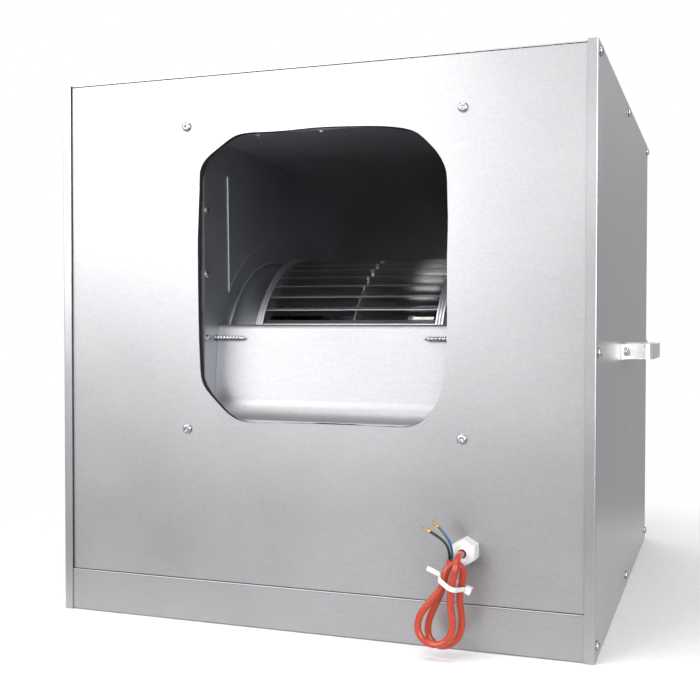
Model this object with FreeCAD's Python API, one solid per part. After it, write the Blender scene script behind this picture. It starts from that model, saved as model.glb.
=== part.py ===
"""Box exhaust fan: a galvanised sheet box with a double-inlet scroll blower inside.

Frame: X to the right seen from the front, Y to the rear, Z up, millimetres.
The origin is the centre of the base, on the floor.
"""
import FreeCAD, Part
import math
import os

V = FreeCAD.Vector
X_AXIS = V(1, 0, 0)
Y_AXIS = V(0, 1, 0)
Z_AXIS = V(0, 0, 1)

# Box
WIDTH = 500.0
DEPTH = 540.0
HEIGHT = 500.0
SHEET = 1.0            # gauge of the galvanised sheet
FIT = 0.2              # play between seated pieces
EDGE_FLANGE = 8.5      # folded front and rear edges of the side panels
PANEL_FLANGE = 20.0    # folds by which the panels are screwed together
BASE_LIP = 38.0        # height of the tray's front and rear walls
BASE_SIDE = 25.0       # height of the tray's side walls
TOP_DROP = 1.0         # the top panel lies this far below the side panels' edges
BEND = 1.2             # outer radius of a fold
LINING = 8.0           # foam lining

# Screws of the box
SCREW_R = 2.0
SCREW_HEAD_R = 4.3
SCREW_HEAD_H = 2.6
SCREW_LENGTH = 10.0
HOLE_PLAY = 0.25       # radial room round a screw
SCREW_INSET = 12.0     # from the front, rear and bottom edges of a side panel
SCREW_TOP = 8.0        # from its top edge
HEAD_CROWN = 0.62      # flat of a round head, as a share of its radius
HEAD_RIM = 0.45        # upright rim of a round head, as a share of its height

# Handles
HANDLE_LENGTH = 148.0
HANDLE_STAND = 30.0
HANDLE_WIDTH = 15.0
HANDLE_GAUGE = 3.5
HANDLE_FOOT = 22.0
HANDLE_BEND = 4.5
HANDLE_DROP = 3.5      # below the middle of the height

# Blower scroll
BLOWER_X = 10.75       # middle of the blower across the box
BLOWER_WIDTH = 232.5   # between the side plates
AXIS_BACK = 173.0      # from the front of the box to the wheel's axis
BLOWER_SHARE = 0.413   # part of the spare height that is left below the blower
SCROLL_TOP = 231.0     # from the axis to the top of the scroll
SCROLL_STEP = 31.0     # the scroll comes nearer by this in each quarter turn
SEAM_LIP = 8.0         # side plates stand past the wrap
OUTLET_HEIGHT = 258.0
LIP_START = 48.0       # the flange's side lips begin this far above the outlet's bottom
OUTLET_FLANGE = 25.0
OUTLET_SCREW_OUT = 12.75   # from the opening's side to the screws
OUTLET_SCREW_UP = 9.0      # from the opening's top to the screws
FLANGE_LIP = 6.5       # lips of the outlet flange along the casing
RIVET_RISE = 4.0       # the side lips' rivets stand above the middle of the outlet
RIVET_PITCH = 59.0
ROOF_RIVET_PITCH = 61.5
ROOF_RIVET_SHIFT = 33.5   # the roof lip's rivets stand left of the middle
INLET_FLARE_R = 124.0
INLET_RIM = 12.0
INLET_LIP = 1.6        # turned edge of the side plate's hole
THROAT_R = 100.0
THROAT_GAP = 4.0       # from the throat to the wheel
CUTOFF_NOSE_R = 5.7
CUTOFF_DROP = 48.2     # the cut-off's nose lies below the middle of the outlet
CUTOFF_BACK = 44.7     # from the front of the box to the nose
CUTOFF_ROOM = 4.4      # the upright face passes this far in front of the scroll's start
CUTOFF_RISE = 3.0      # the plate's floor climbs this much before it turns up
CUTOFF_TURN = 0.85     # part of the floor that is taken up by the turn
CUTOFF_SCREW_R = 2.5
CUTOFF_SCREW_LENGTH = 31.0
CUTOFF_SCREW_OUT = 9.6    # the screws pass in front of the nose's middle
CUTOFF_SCREW_LOW = 6.8    # and below it
BEAD_R = 143.0         # pressed line round the inlet
BEAD_FROM = 40.0       # degrees of its ends
BEAD_TO = 140.0
BEAD_WIDTH = 3.0
BEAD_HEIGHT = 0.8
BEAD_FORWARD = 112.5   # its corner, forward of the axis
BEAD_LOW = 30.0        # and below the top of the outlet

# Hand-cut edge of the opening, as shares of the outlet's half width and half height
OUTLET_CUT = [
    (-0.999, 0.712), (-0.944, 0.833), (-0.880, 0.880), (-0.791, 0.933), (-0.693, 0.983), (-0.631, 0.996),
    (-0.492, 0.999), (-0.319, 0.996), (-0.098, 1.002), (0.037, 1.004), (0.234, 0.998), (0.429, 0.989),
    (0.589, 0.974), (0.683, 0.957), (0.762, 0.929), (0.840, 0.871), (0.910, 0.803), (0.956, 0.740),
    (0.985, 0.675), (0.995, 0.600), (0.998, 0.480), (1.002, 0.370), (0.999, 0.237), (0.996, 0.100),
    (0.996, -0.100), (0.997, -0.314), (0.994, -0.500), (0.985, -0.610), (0.968, -0.710), (0.936, -0.813),
    (0.882, -0.896), (0.812, -0.963), (0.733, -0.998), (0.622, -1.009), (0.462, -1.007), (0.300, -1.005),
    (0.135, -1.005), (-0.032, -1.005), (-0.202, -1.006), (-0.374, -1.010), (-0.514, -1.014),
    (-0.602, -1.010), (-0.690, -0.990), (-0.762, -0.951), (-0.851, -0.878), (-0.923, -0.812),
    (-0.968, -0.758), (-0.992, -0.693), (-1.001, -0.575), (-1.008, -0.440), (-1.011, -0.300),
    (-1.013, -0.150), (-1.015, 0.000), (-1.016, 0.150), (-1.016, 0.289), (-1.010, 0.420), (-1.004, 0.566),
]

# Wheel
WHEEL_R = 126.0
WHEEL_WIDTH = 184.0
WHEEL_SHIFT = 5.0      # towards the motor
RING_BAND = 7.0
RING_RIDGE = 0.7       # rolled ridges round the band
RING_RIDGES = [(0.0, 1), (0.2, 1), (0.3, 0), (0.42, 1), (0.58, 1), (0.7, 0), (0.8, 1), (1.0, 1)]
BLADE_COUNT = 50
BLADE_PHASE = 1.9      # degrees by which the wheel is turned at rest
BLADE_DEPTH = 22.0
BLADE_GAUGE = 0.8
BLADE_SWEEP = 5.5      # degrees by which the tip leads the root
BLADE_BOW = 0.6        # degrees at half depth
DISC_SHIFT = 1.5       # the centre disc is nearer to the motor
DISC_BITE = 11.0       # depth of the disc in the blades' notches
DISC_GAUGE = 1.5
HUB_R = 19.0
HUB_LENGTH = 34.0
HUB_FLANGE = 4.0
HUB_FLANGE_R = 32.3

# Motor
SHAFT_R = 6.35
RUN_PLAY = 0.05        # shaft in its bearings and hub
SHAFT_ROOM = 1.0       # round the shaft inside the motor
SHAFT_STICK = 3.0      # the shaft ends past the hub and the motor
MOTOR_R = 75.0
MOTOR_LENGTH = 92.0
MOTOR_GAP = 26.0       # from the disc to the motor's end cap
CAP_LENGTH = 14.0
CAP_SHOULDER = 4.9     # straight part of an end cap
CAP_CROWN_R = 48.0
CAP_NECK = 3.0
CAP_NECK_R = 24.0
BEARING_R = 17.5
BEARING_WIDTH = 11.0
BAND_WIDTH = 22.0
BAND_GAUGE = 1.5
ARM_WIDTH = 20.0
ARM_GAUGE = 3.0
ARM_COUNT = 3
ARM_FIRST = 110.0      # degrees of the first arm, from the rear towards the top
ARM_REACH = 148.0      # from the axis to the arm bolts
GROMMET_R = 10.0
GROMMET_LENGTH = 4.0
BOLT_R = 3.0
BOLT_HEAD_R = 5.8
BOLT_HEAD_H = 4.0

# Feet of the blower
FOOT_LENGTH = 260.0
FOOT_GAP = 3.6         # from the inlet's rim to the foot
FOOT_WIDTH = 32.0
FOOT_GAUGE = 2.0
MOUNT_HEIGHT = 26.0
MOUNT_R = 12.0
MOUNT_WAIST_R = 9.0
MOUNT_SPACING = 200.0
FOOT_BACK = 17.0       # the feet's middle lies behind the axis

# Air intake at the rear
INTAKE_R = 157.5
INTAKE_LENGTH = 40.0
INTAKE_RIM = 20.0
RIVET_R = 1.6
RIVET_HEAD_R = 3.2
RIVET_HEAD_H = 1.4
INTAKE_RIVETS = 8

# Run capacitor on the tray
CAPACITOR_R = 17.5
CAPACITOR_LENGTH = 68.0
CAPACITOR_X = 195.0
CAPACITOR_Y = 60.0
CLIP_WIDTH = 16.0
CLIP_GAUGE = 1.2
CLIP_EAR = 16.0

# Cable gland and cord
GLAND_X = 145.0
GLAND_Z = 85.0
GLAND_HEX = 19.5       # across flats
GLAND_BODY = 7.0
GLAND_CAP = 13.0
GLAND_MOUTH_R = 6.9    # the cap rounds off to this at the cord
GLAND_BROW_R = 9.6     # and to this a little way back
GLAND_BROW = 2.8
GLAND_THREAD_R = 8.0
GLAND_NUT = 5.0
GLAND_PLAY = 0.8       # room round the cord in the gland
CORD_D = 5.8
CORE_D = 2.2
FERRULE_LENGTH = 7.0
FERRULE_R = 1.5
LEAD_D = 6.3

# Route of the cord to its cut end, from the gland's mouth: two hanging loops, tied near the top
CORD_ROUTE = [
    (0.0, -12.4, 1.0), (0.5, -23.0, -7.0), (-3.6, -21.5, -22.5), (-5.0, -19.9, -36.0),
    (-3.0, -18.4, -50.5), (-9.5, -17.9, -66.0), (-21.0, -17.4, -73.0), (-33.0, -16.9, -65.5),
    (-32.5, -16.4, -50.5), (-22.5, -16.4, -37.0), (-10.5, -16.4, -24.0), (-8.5, -15.2, -7.0),
    (3.0, -9.4, -7.5), (1.2, -8.9, -22.0), (-0.5, -7.6, -33.0), (2.2, -6.4, -49.5),
    (-3.5, -5.9, -67.0), (-17.0, -5.4, -78.0), (-27.5, -4.9, -70.0), (-26.5, -4.4, -54.0),
    (-19.0, -4.4, -39.0), (-14.0, -4.7, -25.0), (-12.0, -5.2, -14.5), (-7.5, -5.9, -4.0),
]
BLUE_ROUTE = [(-6.4, -6.7, -2.9), (-5.8, -8.4, 4.5), (-8.8, -10.4, 14.5), (-17.6, -11.6, 23.9)]
BLACK_ROUTE = [(-8.6, -7.3, -2.9), (-7.8, -9.9, 4.0), (-12.6, -11.4, 13.3), (-24.2, -12.7, 19.5)]
EARTH_ROUTE = [(-7.7, -4.5, -2.9), (-6.7, -5.0, 4.5), (-10.4, -5.9, 13.8), (-20.0, -8.2, 23.0)]

# Cable tie
TIE_DROP = 22.0        # below the gland
TIE_LEFT = 5.0         # the hank's middle lies left of the gland
TIE_TILT = 22.0        # degrees; its right side hangs lower
TIE_WIDTH = 4.0
TIE_GAUGE = 1.2
TIE_PLAY = 1.4
TIE_HEAD = 6.0
TIE_HEAD_DEPTH = 4.2
TIE_HEAD_RIM = 1.0
TIE_TAIL = 11.0

# Route of the inner lead: from the gland's thread, then from the middle of the motor's outer end
LEAD_START = [(0.0, 35.6, -1.0), (13.0, 64.6, -13.0), (41.0, 92.6, -11.0)]
LEAD_FINISH = [
    (67.25, -39.0, -115.0), (69.25, -11.0, -81.0), (55.25, 0.0, -53.0), (33.25, 0.0, -40.0),
    (2 * FIT - CAP_NECK, 0.0, -40.0),
]

# Places worked out from the sizes above
HALF_W = WIDTH / 2
FRONT_Y = -DEPTH / 2
REAR_Y = DEPTH / 2
INNER_X = HALF_W - SHEET - FIT
TRAY_Y = FRONT_Y + SHEET + FIT
PANEL_Y = TRAY_Y + SHEET + FIT
PANEL_BACK_Y = PANEL_Y + SHEET
TOP_Z = HEIGHT - TOP_DROP
PANEL_TOP_Z = TOP_Z - SHEET - FIT
PANEL_LOW_Z = SHEET + FIT
LINING_Y = PANEL_BACK_Y + FIT
FLANGE_Y = LINING_Y + LINING + FIT
ROOM_LOW_Z = SHEET + FIT + LINING
ROOM_TOP_Z = TOP_Z - SHEET - FIT - LINING
SCROLL_LOW = SCROLL_TOP - 2 * SCROLL_STEP
SPARE = ROOM_TOP_Z - ROOM_LOW_Z - SCROLL_TOP - SCROLL_LOW - 2 * (SHEET + SEAM_LIP)
AXIS_Y = FRONT_Y + AXIS_BACK
AXIS_Z = ROOM_LOW_Z + SPARE * BLOWER_SHARE + SHEET + SEAM_LIP + SCROLL_LOW
SCROLL_Y = FLANGE_Y + SHEET + FIT
PLATE_LEFT_X = BLOWER_X - BLOWER_WIDTH / 2
PLATE_RIGHT_X = BLOWER_X + BLOWER_WIDTH / 2
OUTLET_TOP_Z = AXIS_Z + SCROLL_TOP
OUTLET_LOW_Z = OUTLET_TOP_Z - OUTLET_HEIGHT
OUTLET_MID_Z = OUTLET_TOP_Z - OUTLET_HEIGHT / 2
CUTOFF_NOSE_Y = FRONT_Y + CUTOFF_BACK
CUTOFF_NOSE_Z = OUTLET_MID_Z - CUTOFF_DROP
FOOT_Y = AXIS_Y + FOOT_BACK
HANDLE_Z = HEIGHT / 2 - HANDLE_DROP
INTAKE_Z = HEIGHT / 2
WHEEL_X = BLOWER_X + WHEEL_SHIFT
DISC_X = WHEEL_X + DISC_SHIFT
MOTOR_X = DISC_X + MOTOR_GAP
MOTOR_END_X = MOTOR_X + MOTOR_LENGTH
GLAND_END_Y = PANEL_Y - GLAND_BODY - GLAND_CAP
TIE_Z = GLAND_Z - TIE_DROP
AXIS = V(0, AXIS_Y, AXIS_Z)
GLAND_MOUTH = V(GLAND_X, GLAND_END_Y, GLAND_Z)
TIE_MIDDLE = V(GLAND_X - TIE_LEFT, GLAND_END_Y, TIE_Z)

os.makedirs("parts", exist_ok=True)


def save(name, shape):
    shape.exportStep("parts/" + name + ".step")


def box(x0, x1, y0, y1, z0, z1):
    return Part.makeBox(x1 - x0, y1 - y0, z1 - z0, V(x0, y0, z0))


def rod(start, direction, radius, length):
    return Part.makeCylinder(radius, length, start, direction)


def ring(start, direction, outer, inner, length):
    return rod(start, direction, outer, length).cut(rod(start, direction, inner, length))


def holes(shape, points, direction, radius, depth):
    """Drill the shape at each point, along the direction and as far back."""
    for point in points:
        shape = shape.cut(rod(point - direction * depth, direction, radius, 2 * depth))
    return shape


def arc(centre, radius, start, end):
    """An arc in the YZ plane, by degrees from +Y."""
    def at(angle):
        a = math.radians(angle)
        return centre + V(0, radius * math.cos(a), radius * math.sin(a))
    return Part.Arc(at(start), at((start + end) / 2), at(end)).toShape()


def line(a, b):
    return Part.LineSegment(a, b).toShape()


def revolve_x(outline):
    """Turn an outline of (x, radius) points about the wheel's axis."""
    points = [AXIS + V(x, 0, r) for x, r in outline]
    return Part.Face(Part.makePolygon(points + points[:1])).revolve(AXIS, X_AXIS, 360)


def polar(x, radius, angle):
    a = math.radians(angle)
    return AXIS + V(x, radius * math.cos(a), radius * math.sin(a))


def screw(seat, direction, radius, length, head_r, head_h):
    """A round-headed screw: the head stands off its seat, the shank goes along the direction."""
    crown, rim = head_r * HEAD_CROWN, head_h * HEAD_RIM
    profile = [V(0, 0, 0), V(head_r, 0, 0), V(head_r, 0, rim), V(crown, 0, head_h), V(0, 0, head_h)]
    head = Part.Face(Part.makePolygon(profile + profile[:1])).revolve(V(0, 0, 0), Z_AXIS, 360)
    body = head.fuse(rod(V(0, 0, -length), Z_AXIS, radius, length + rim)).removeSplitter()
    body.Placement = FreeCAD.Placement(seat, FreeCAD.Rotation(Z_AXIS, direction * -1))
    return body


def pan(x0, x1, z0, z1, face_y, flange):
    """A panel facing the front or rear with all four edges folded inwards."""
    inward = 1 if face_y < 0 else -1
    y_open = face_y + inward * flange
    y_in = face_y + inward * SHEET
    outer = box(x0, x1, min(face_y, y_open), max(face_y, y_open), z0, z1)
    rim = [e for e in outer.Edges if all(abs(v.Y - face_y) < 1e-6 for v in e.Vertexes)]
    outer = outer.makeFillet(BEND, rim)
    y_far = y_open + inward
    inner = box(x0 + SHEET, x1 - SHEET, min(y_in, y_far), max(y_in, y_far), z0 + SHEET, z1 - SHEET)
    return outer.cut(inner)


def outlet_window(y0, y1):
    """The hand-cut opening as a block from y0 to y1."""
    middle = V(BLOWER_X, y0, OUTLET_MID_Z)
    points = [middle + V(u * BLOWER_WIDTH / 2, 0, v * OUTLET_HEIGHT / 2) for u, v in OUTLET_CUT]
    curve = Part.BSplineCurve()
    curve.interpolate(points, PeriodicFlag=True)
    return Part.Face(Part.Wire(curve.toShape())).extrude(V(0, y1 - y0, 0))


def side_screw_points(side):
    """Where the screws enter a side panel: corners, middle of the depth, middle of the height."""
    low, high, middle = SCREW_INSET, HEIGHT - SCREW_TOP, HEIGHT / 2
    front, rear = FRONT_Y + SCREW_INSET, REAR_Y - SCREW_INSET
    places = [(front, low), (0, low), (rear, low), (front, middle), (rear, middle)]
    places += [(front, high), (0, high), (rear, high)]
    return [V(side * HALF_W, y, z) for y, z in places]


def outlet_screw_points():
    reach_x = BLOWER_WIDTH / 2 + OUTLET_SCREW_OUT
    reach_z = OUTLET_HEIGHT / 2 + OUTLET_SCREW_UP
    middle = V(BLOWER_X, PANEL_Y, OUTLET_MID_Z)
    return [middle + V(sx * reach_x, 0, sz * reach_z) for sx in (-1, 1) for sz in (-1, 1)]


def all_side_holes(shape):
    for side in (-1, 1):
        shape = holes(shape, side_screw_points(side), X_AXIS, SCREW_R + HOLE_PLAY, SCREW_LENGTH)
    return shape


# Box panels

def side_panel(side):
    """Flat panel with its front and rear edges folded in."""
    x_edge = HALF_W - EDGE_FLANGE
    outer = box(x_edge, HALF_W, FRONT_Y, REAR_Y, 0, HEIGHT)
    folds = [e for e in outer.Edges if all(abs(v.X - HALF_W) < 1e-6 for v in e.Vertexes)
             and abs(e.Vertexes[0].Z - e.Vertexes[1].Z) > 1]
    outer = outer.makeFillet(BEND, folds)
    panel = outer.cut(box(x_edge - 1, HALF_W - SHEET, FRONT_Y + SHEET, REAR_Y - SHEET, -1, HEIGHT + 1))
    if side < 0:
        panel = panel.mirror(V(0, 0, 0), X_AXIS)
    panel = holes(panel, side_screw_points(side), X_AXIS, SCREW_R + HOLE_PLAY, SCREW_LENGTH)
    return holes(panel, handle_screw_points(side), X_AXIS, SCREW_R + HOLE_PLAY, SCREW_LENGTH)


def front_panel():
    panel = pan(-INNER_X, INNER_X, PANEL_LOW_Z, PANEL_TOP_Z, PANEL_Y, PANEL_FLANGE)
    panel = panel.cut(outlet_window(PANEL_Y - 1, PANEL_BACK_Y + 1))
    panel = holes(panel, outlet_screw_points(), Y_AXIS, SCREW_R + HOLE_PLAY, SCREW_LENGTH)
    panel = holes(panel, [V(GLAND_X, PANEL_Y, GLAND_Z)], Y_AXIS, GLAND_THREAD_R + HOLE_PLAY, SCREW_LENGTH)
    return all_side_holes(panel)


def rear_panel():
    panel = pan(-INNER_X, INNER_X, PANEL_LOW_Z, PANEL_TOP_Z, -PANEL_Y, PANEL_FLANGE)
    panel = holes(panel, [V(0, -PANEL_Y, INTAKE_Z)], Y_AXIS, INTAKE_R - SHEET, SCREW_LENGTH)
    panel = holes(panel, intake_rivet_points(), Y_AXIS, RIVET_R + HOLE_PLAY, SCREW_LENGTH)
    return all_side_holes(panel)


def top_panel():
    """Roof sheet with side flanges that stop short of the front and rear panels' flanges."""
    outer = box(-INNER_X, INNER_X, PANEL_Y, -PANEL_Y, TOP_Z - PANEL_FLANGE, TOP_Z)
    folds = [e for e in outer.Edges if all(abs(v.Z - TOP_Z) < 1e-6 for v in e.Vertexes)
             and abs(e.Vertexes[0].Y - e.Vertexes[1].Y) > 1]
    outer = outer.makeFillet(BEND, folds)
    under = TOP_Z - SHEET
    low = TOP_Z - PANEL_FLANGE - 1
    panel = outer.cut(box(-INNER_X + SHEET, INNER_X - SHEET, TRAY_Y - 1, 1 - TRAY_Y, low, under))
    stop_y = PANEL_Y + PANEL_FLANGE + FIT
    panel = panel.cut(box(-HALF_W, HALF_W, TRAY_Y - 1, stop_y, low, under - FIT))
    panel = panel.cut(box(-HALF_W, HALF_W, -stop_y, 1 - TRAY_Y, low, under - FIT))
    return all_side_holes(panel)


def base_tray():
    """Floor sheet with tall front and rear walls and lower side walls between the panels' flanges."""
    outer = box(-INNER_X, INNER_X, TRAY_Y, -TRAY_Y, 0, BASE_LIP)
    folds = [e for e in outer.Edges if all(abs(v.Z) < 1e-6 for v in e.Vertexes)]
    outer = outer.makeFillet(BEND, folds)
    wall_y = TRAY_Y + SHEET
    tray = outer.cut(box(SHEET - INNER_X, INNER_X - SHEET, wall_y, -wall_y, SHEET, BASE_LIP + 1))
    tray = tray.cut(box(-HALF_W, HALF_W, wall_y, -wall_y, BASE_SIDE, BASE_LIP + 1))
    stop_y = PANEL_Y + PANEL_FLANGE + FIT
    tray = tray.cut(box(-HALF_W, HALF_W, wall_y, stop_y, PANEL_LOW_Z - FIT, BASE_LIP + 1))
    tray = tray.cut(box(-HALF_W, HALF_W, -stop_y, -wall_y, PANEL_LOW_Z - FIT, BASE_LIP + 1))
    tray = holes(tray, mount_points(), Z_AXIS, BOLT_R + HOLE_PLAY, BASE_LIP)
    return all_side_holes(tray)


# Foam lining

def end_lining(inward):
    """Lining of the front panel (inward 1) or the rear panel (inward -1), inside its folds."""
    y_face = inward * LINING_Y
    y_back = y_face + inward * LINING
    half_x = HALF_W - SCREW_LENGTH - FIT
    z0, z1 = PANEL_LOW_Z + SHEET + FIT, PANEL_TOP_Z - SHEET - FIT
    sheet = box(-half_x, half_x, min(y_face, y_back), max(y_face, y_back), z0, z1)
    if inward > 0:
        sheet = sheet.cut(outlet_window(y_face - 1, y_back + 1))
        sheet = holes(sheet, outlet_screw_points(), Y_AXIS, SCREW_R + HOLE_PLAY, 4 * LINING)
        return holes(sheet, [V(GLAND_X, y_face, GLAND_Z)], Y_AXIS, GLAND_HEX * 0.7, 4 * LINING)
    sheet = holes(sheet, [V(0, y_face, INTAKE_Z)], Y_AXIS, INTAKE_R, 4 * LINING)
    return holes(sheet, intake_rivet_points(), Y_AXIS, RIVET_HEAD_R + HOLE_PLAY, 4 * LINING)


def side_lining(side):
    stop_y = PANEL_Y + PANEL_FLANGE + FIT
    x_out = HALF_W - SHEET - FIT
    sheet = box(x_out - LINING, x_out, stop_y, -stop_y, BASE_SIDE + FIT, TOP_Z - PANEL_FLANGE - FIT)
    sheet = holes(sheet, handle_screw_points(1), X_AXIS, SCREW_R + HOLE_PLAY, 4 * LINING)
    return sheet if side > 0 else sheet.mirror(V(0, 0, 0), X_AXIS)


def flat_lining(z0):
    stop_y = PANEL_Y + PANEL_FLANGE + FIT
    half_x = HALF_W - SCREW_LENGTH - FIT
    return box(-half_x, half_x, stop_y, -stop_y, z0, z0 + LINING)


def base_lining():
    sheet = flat_lining(SHEET + FIT)
    sheet = holes(sheet, mount_points(), Z_AXIS, MOUNT_R + FIT, 4 * LINING)
    reach_x = CAPACITOR_R + CLIP_EAR + FIT
    reach_y = CAPACITOR_LENGTH / 2 + FIT
    return sheet.cut(box(CAPACITOR_X - reach_x, CAPACITOR_X + reach_x, CAPACITOR_Y - reach_y,
                         CAPACITOR_Y + reach_y, 0, BASE_LIP))


# Handles

def handle_screw_points(side):
    reach = HANDLE_LENGTH / 2 - HANDLE_FOOT / 2
    x = side * (HALF_W + FIT + HANDLE_GAUGE)
    return [V(x, -reach, HANDLE_Z), V(x, reach, HANDLE_Z)]


def bow(x0, x1, reach, corner, z0, z1):
    block = box(x0, x1, -reach, reach, z0, z1)
    outer = [e for e in block.Edges if all(abs(v.X - x1) < 1e-6 for v in e.Vertexes)
             and abs(e.Vertexes[0].Z - e.Vertexes[1].Z) > 1]
    return block.makeFillet(corner, outer)


def handle(side):
    """Flat strip bent into a bow, with a foot at each end."""
    seat = HALF_W + FIT
    z0, z1 = HANDLE_Z - HANDLE_WIDTH / 2, HANDLE_Z + HANDLE_WIDTH / 2
    reach = HANDLE_LENGTH / 2 - HANDLE_FOOT
    out_x = HALF_W + HANDLE_STAND
    outer = bow(seat, out_x, reach, HANDLE_BEND + HANDLE_GAUGE, z0, z1)
    inner = bow(seat - 1, out_x - HANDLE_GAUGE, reach - HANDLE_GAUGE, HANDLE_BEND, z0 - 1, z1 + 1)
    strap = outer.cut(inner)
    for end in (-1, 1):
        y0, y1 = sorted((end * HANDLE_LENGTH / 2, end * (reach - HANDLE_GAUGE / 2)))
        strap = strap.fuse(box(seat, seat + HANDLE_GAUGE, y0, y1, z0, z1))
    strap = strap.removeSplitter()
    strap = holes(strap, handle_screw_points(1), X_AXIS, SCREW_R + HOLE_PLAY, HANDLE_GAUGE * 2)
    return strap if side > 0 else strap.mirror(V(0, 0, 0), X_AXIS)


# Scroll casing of the blower

def scroll_edges(extra):
    """The scroll from its start at the front, under the wheel and over the top to the outlet.

    Quarter arcs about the corners of a small square, each larger by its side."""
    half = SCROLL_STEP / 2
    first = SCROLL_TOP - half - 2 * SCROLL_STEP
    centres = [(half, -half), (half, half), (-half, half)]
    edges = []
    for i, (cy, cz) in enumerate(centres):
        radius = first + i * SCROLL_STEP + extra
        edges.append(arc(AXIS + V(0, cy, cz), radius, 180 + 90 * i, 270 + 90 * i))
    top = edges[-1].Vertexes[-1].Point
    edges.append(line(top, V(top.x, SCROLL_Y, top.z)))
    return edges


def closed_face(paths):
    edges = [e for path in paths for e in path]
    return Part.Face(Part.Wire(Part.__sortEdges__(edges)))


def ends(path):
    """First and last point of a path of edges in order."""
    wire = Part.Wire(path)
    return wire.OrderedVertexes[0].Point, wire.OrderedVertexes[-1].Point


def sheet_between(inner, outer, x0, x1):
    """A bent sheet between two like paths, from x0 to x1."""
    a0, a1 = ends(inner)
    b0, b1 = ends(outer)
    face = closed_face([inner, outer, [line(a0, b0)], [line(a1, b1)]])
    solid = face.extrude(V(x1 - x0, 0, 0))
    solid.translate(V(x0, 0, 0))
    return solid


def scroll_wrap():
    wrap = sheet_between(scroll_edges(0), scroll_edges(SHEET), PLATE_LEFT_X + FIT, PLATE_RIGHT_X - FIT)
    rivets = [p for p, d in flange_rivets_at() if d.z]
    return holes(wrap, rivets, Z_AXIS, RIVET_R + HOLE_PLAY, SCREW_LENGTH)


def tangent_point(point, centre, radius, side):
    """Where a line from the point touches the circle, on its front (-1) or rear (1) side."""
    across = centre - point
    turn = math.asin(radius / across.Length)
    along = math.atan2(across.z, across.y) - side * turn
    length = math.sqrt(across.Length ** 2 - radius ** 2)
    return point + V(0, length * math.cos(along), length * math.sin(along))


def rounded_corner(before, corner, after, run):
    """Ends and middle of the arc that rounds off a corner, from the run it takes of each side."""
    back, ahead = before - corner, after - corner
    back.normalize()
    ahead.normalize()
    half = back.getAngle(ahead) / 2
    radius = run * math.tan(half)
    inward = back + ahead
    inward.normalize()
    middle = corner + inward * (radius / math.sin(half) - radius)
    return corner + back * run, middle, corner + ahead * run


def cutoff_path(front_foot, rear_foot, behind):
    """Floor, turn, upright face, nose and rear face, set behind the seen face."""
    radius = CUTOFF_NOSE_R - behind
    nose = V(0, CUTOFF_NOSE_Y, CUTOFF_NOSE_Z)
    low = rear_foot - V(0, CUTOFF_ROOM - 2 * behind, 0)
    front = tangent_point(low, nose, radius, -1)
    rear = tangent_point(rear_foot, nose, radius, 1)
    crown = nose + V(0, 0, radius)
    floor_z = front_foot.z + CUTOFF_RISE
    knee = low + (front - low) * ((floor_z - low.z) / (front.z - low.z))
    a, b, c = rounded_corner(front_foot, knee, front, CUTOFF_TURN * (knee - front_foot).Length)
    path = [line(front_foot, a), Part.Arc(a, b, c).toShape(), line(c, front)]
    return path + [Part.Arc(front, crown, rear).toShape(), line(rear, rear_foot)]


def cutoff_plate():
    """Bright plate that closes the lower outlet and folds over in front of the wheel."""
    start = scroll_edges(0)[0].Vertexes[0].Point
    front_foot = V(0, SCROLL_Y, OUTLET_LOW_Z)
    rear_foot = V(0, start.y, start.z + FIT)
    outer = cutoff_path(front_foot, rear_foot, 0)
    inner = cutoff_path(front_foot - V(0, 0, SHEET), rear_foot - V(0, SHEET, 0), SHEET)
    return sheet_between(inner, outer, PLATE_LEFT_X + FIT, PLATE_RIGHT_X - FIT)


def plate_outer_x(side):
    return PLATE_RIGHT_X + SHEET if side > 0 else PLATE_LEFT_X - SHEET


def bar_face(a, b, width):
    """A straight strip between two points of the YZ plane."""
    along = b - a
    across = V(0, -along.z, along.y).normalize() * (width / 2)
    corners = [a + across, b + across, b - across, a - across]
    return Part.Face(Part.makePolygon(corners + corners[:1]))


def pressed_line(side):
    """Bead on the inner face of a side plate: round the inlet, up, and back under the top."""
    half = BEAD_WIDTH / 2
    outer, inner = [arc(AXIS, BEAD_R + w, BEAD_FROM, BEAD_TO) for w in (half, -half)]
    a0, a1 = ends([outer])
    b0, b1 = ends([inner])
    low = polar(0, BEAD_R, BEAD_TO)
    corner = V(0, AXIS_Y - BEAD_FORWARD, OUTLET_TOP_Z - BEAD_LOW)
    far = V(0, AXIS_Y, corner.z + BEAD_WIDTH)
    faces = [closed_face([[outer, inner], [line(a0, b0)], [line(a1, b1)]])]
    faces += [bar_face(low, corner, BEAD_WIDTH), bar_face(corner, far, BEAD_WIDTH)]
    solids = [f.extrude(V(BEAD_HEIGHT, 0, 0)) for f in faces]
    solids += [rod(p, X_AXIS, half, BEAD_HEIGHT) for p in (low, corner, far)]
    bead = solids[0].fuse(solids[1:]).removeSplitter()
    bead.translate(V(PLATE_RIGHT_X - BEAD_HEIGHT if side > 0 else PLATE_LEFT_X, 0, 0))
    return bead


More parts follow.
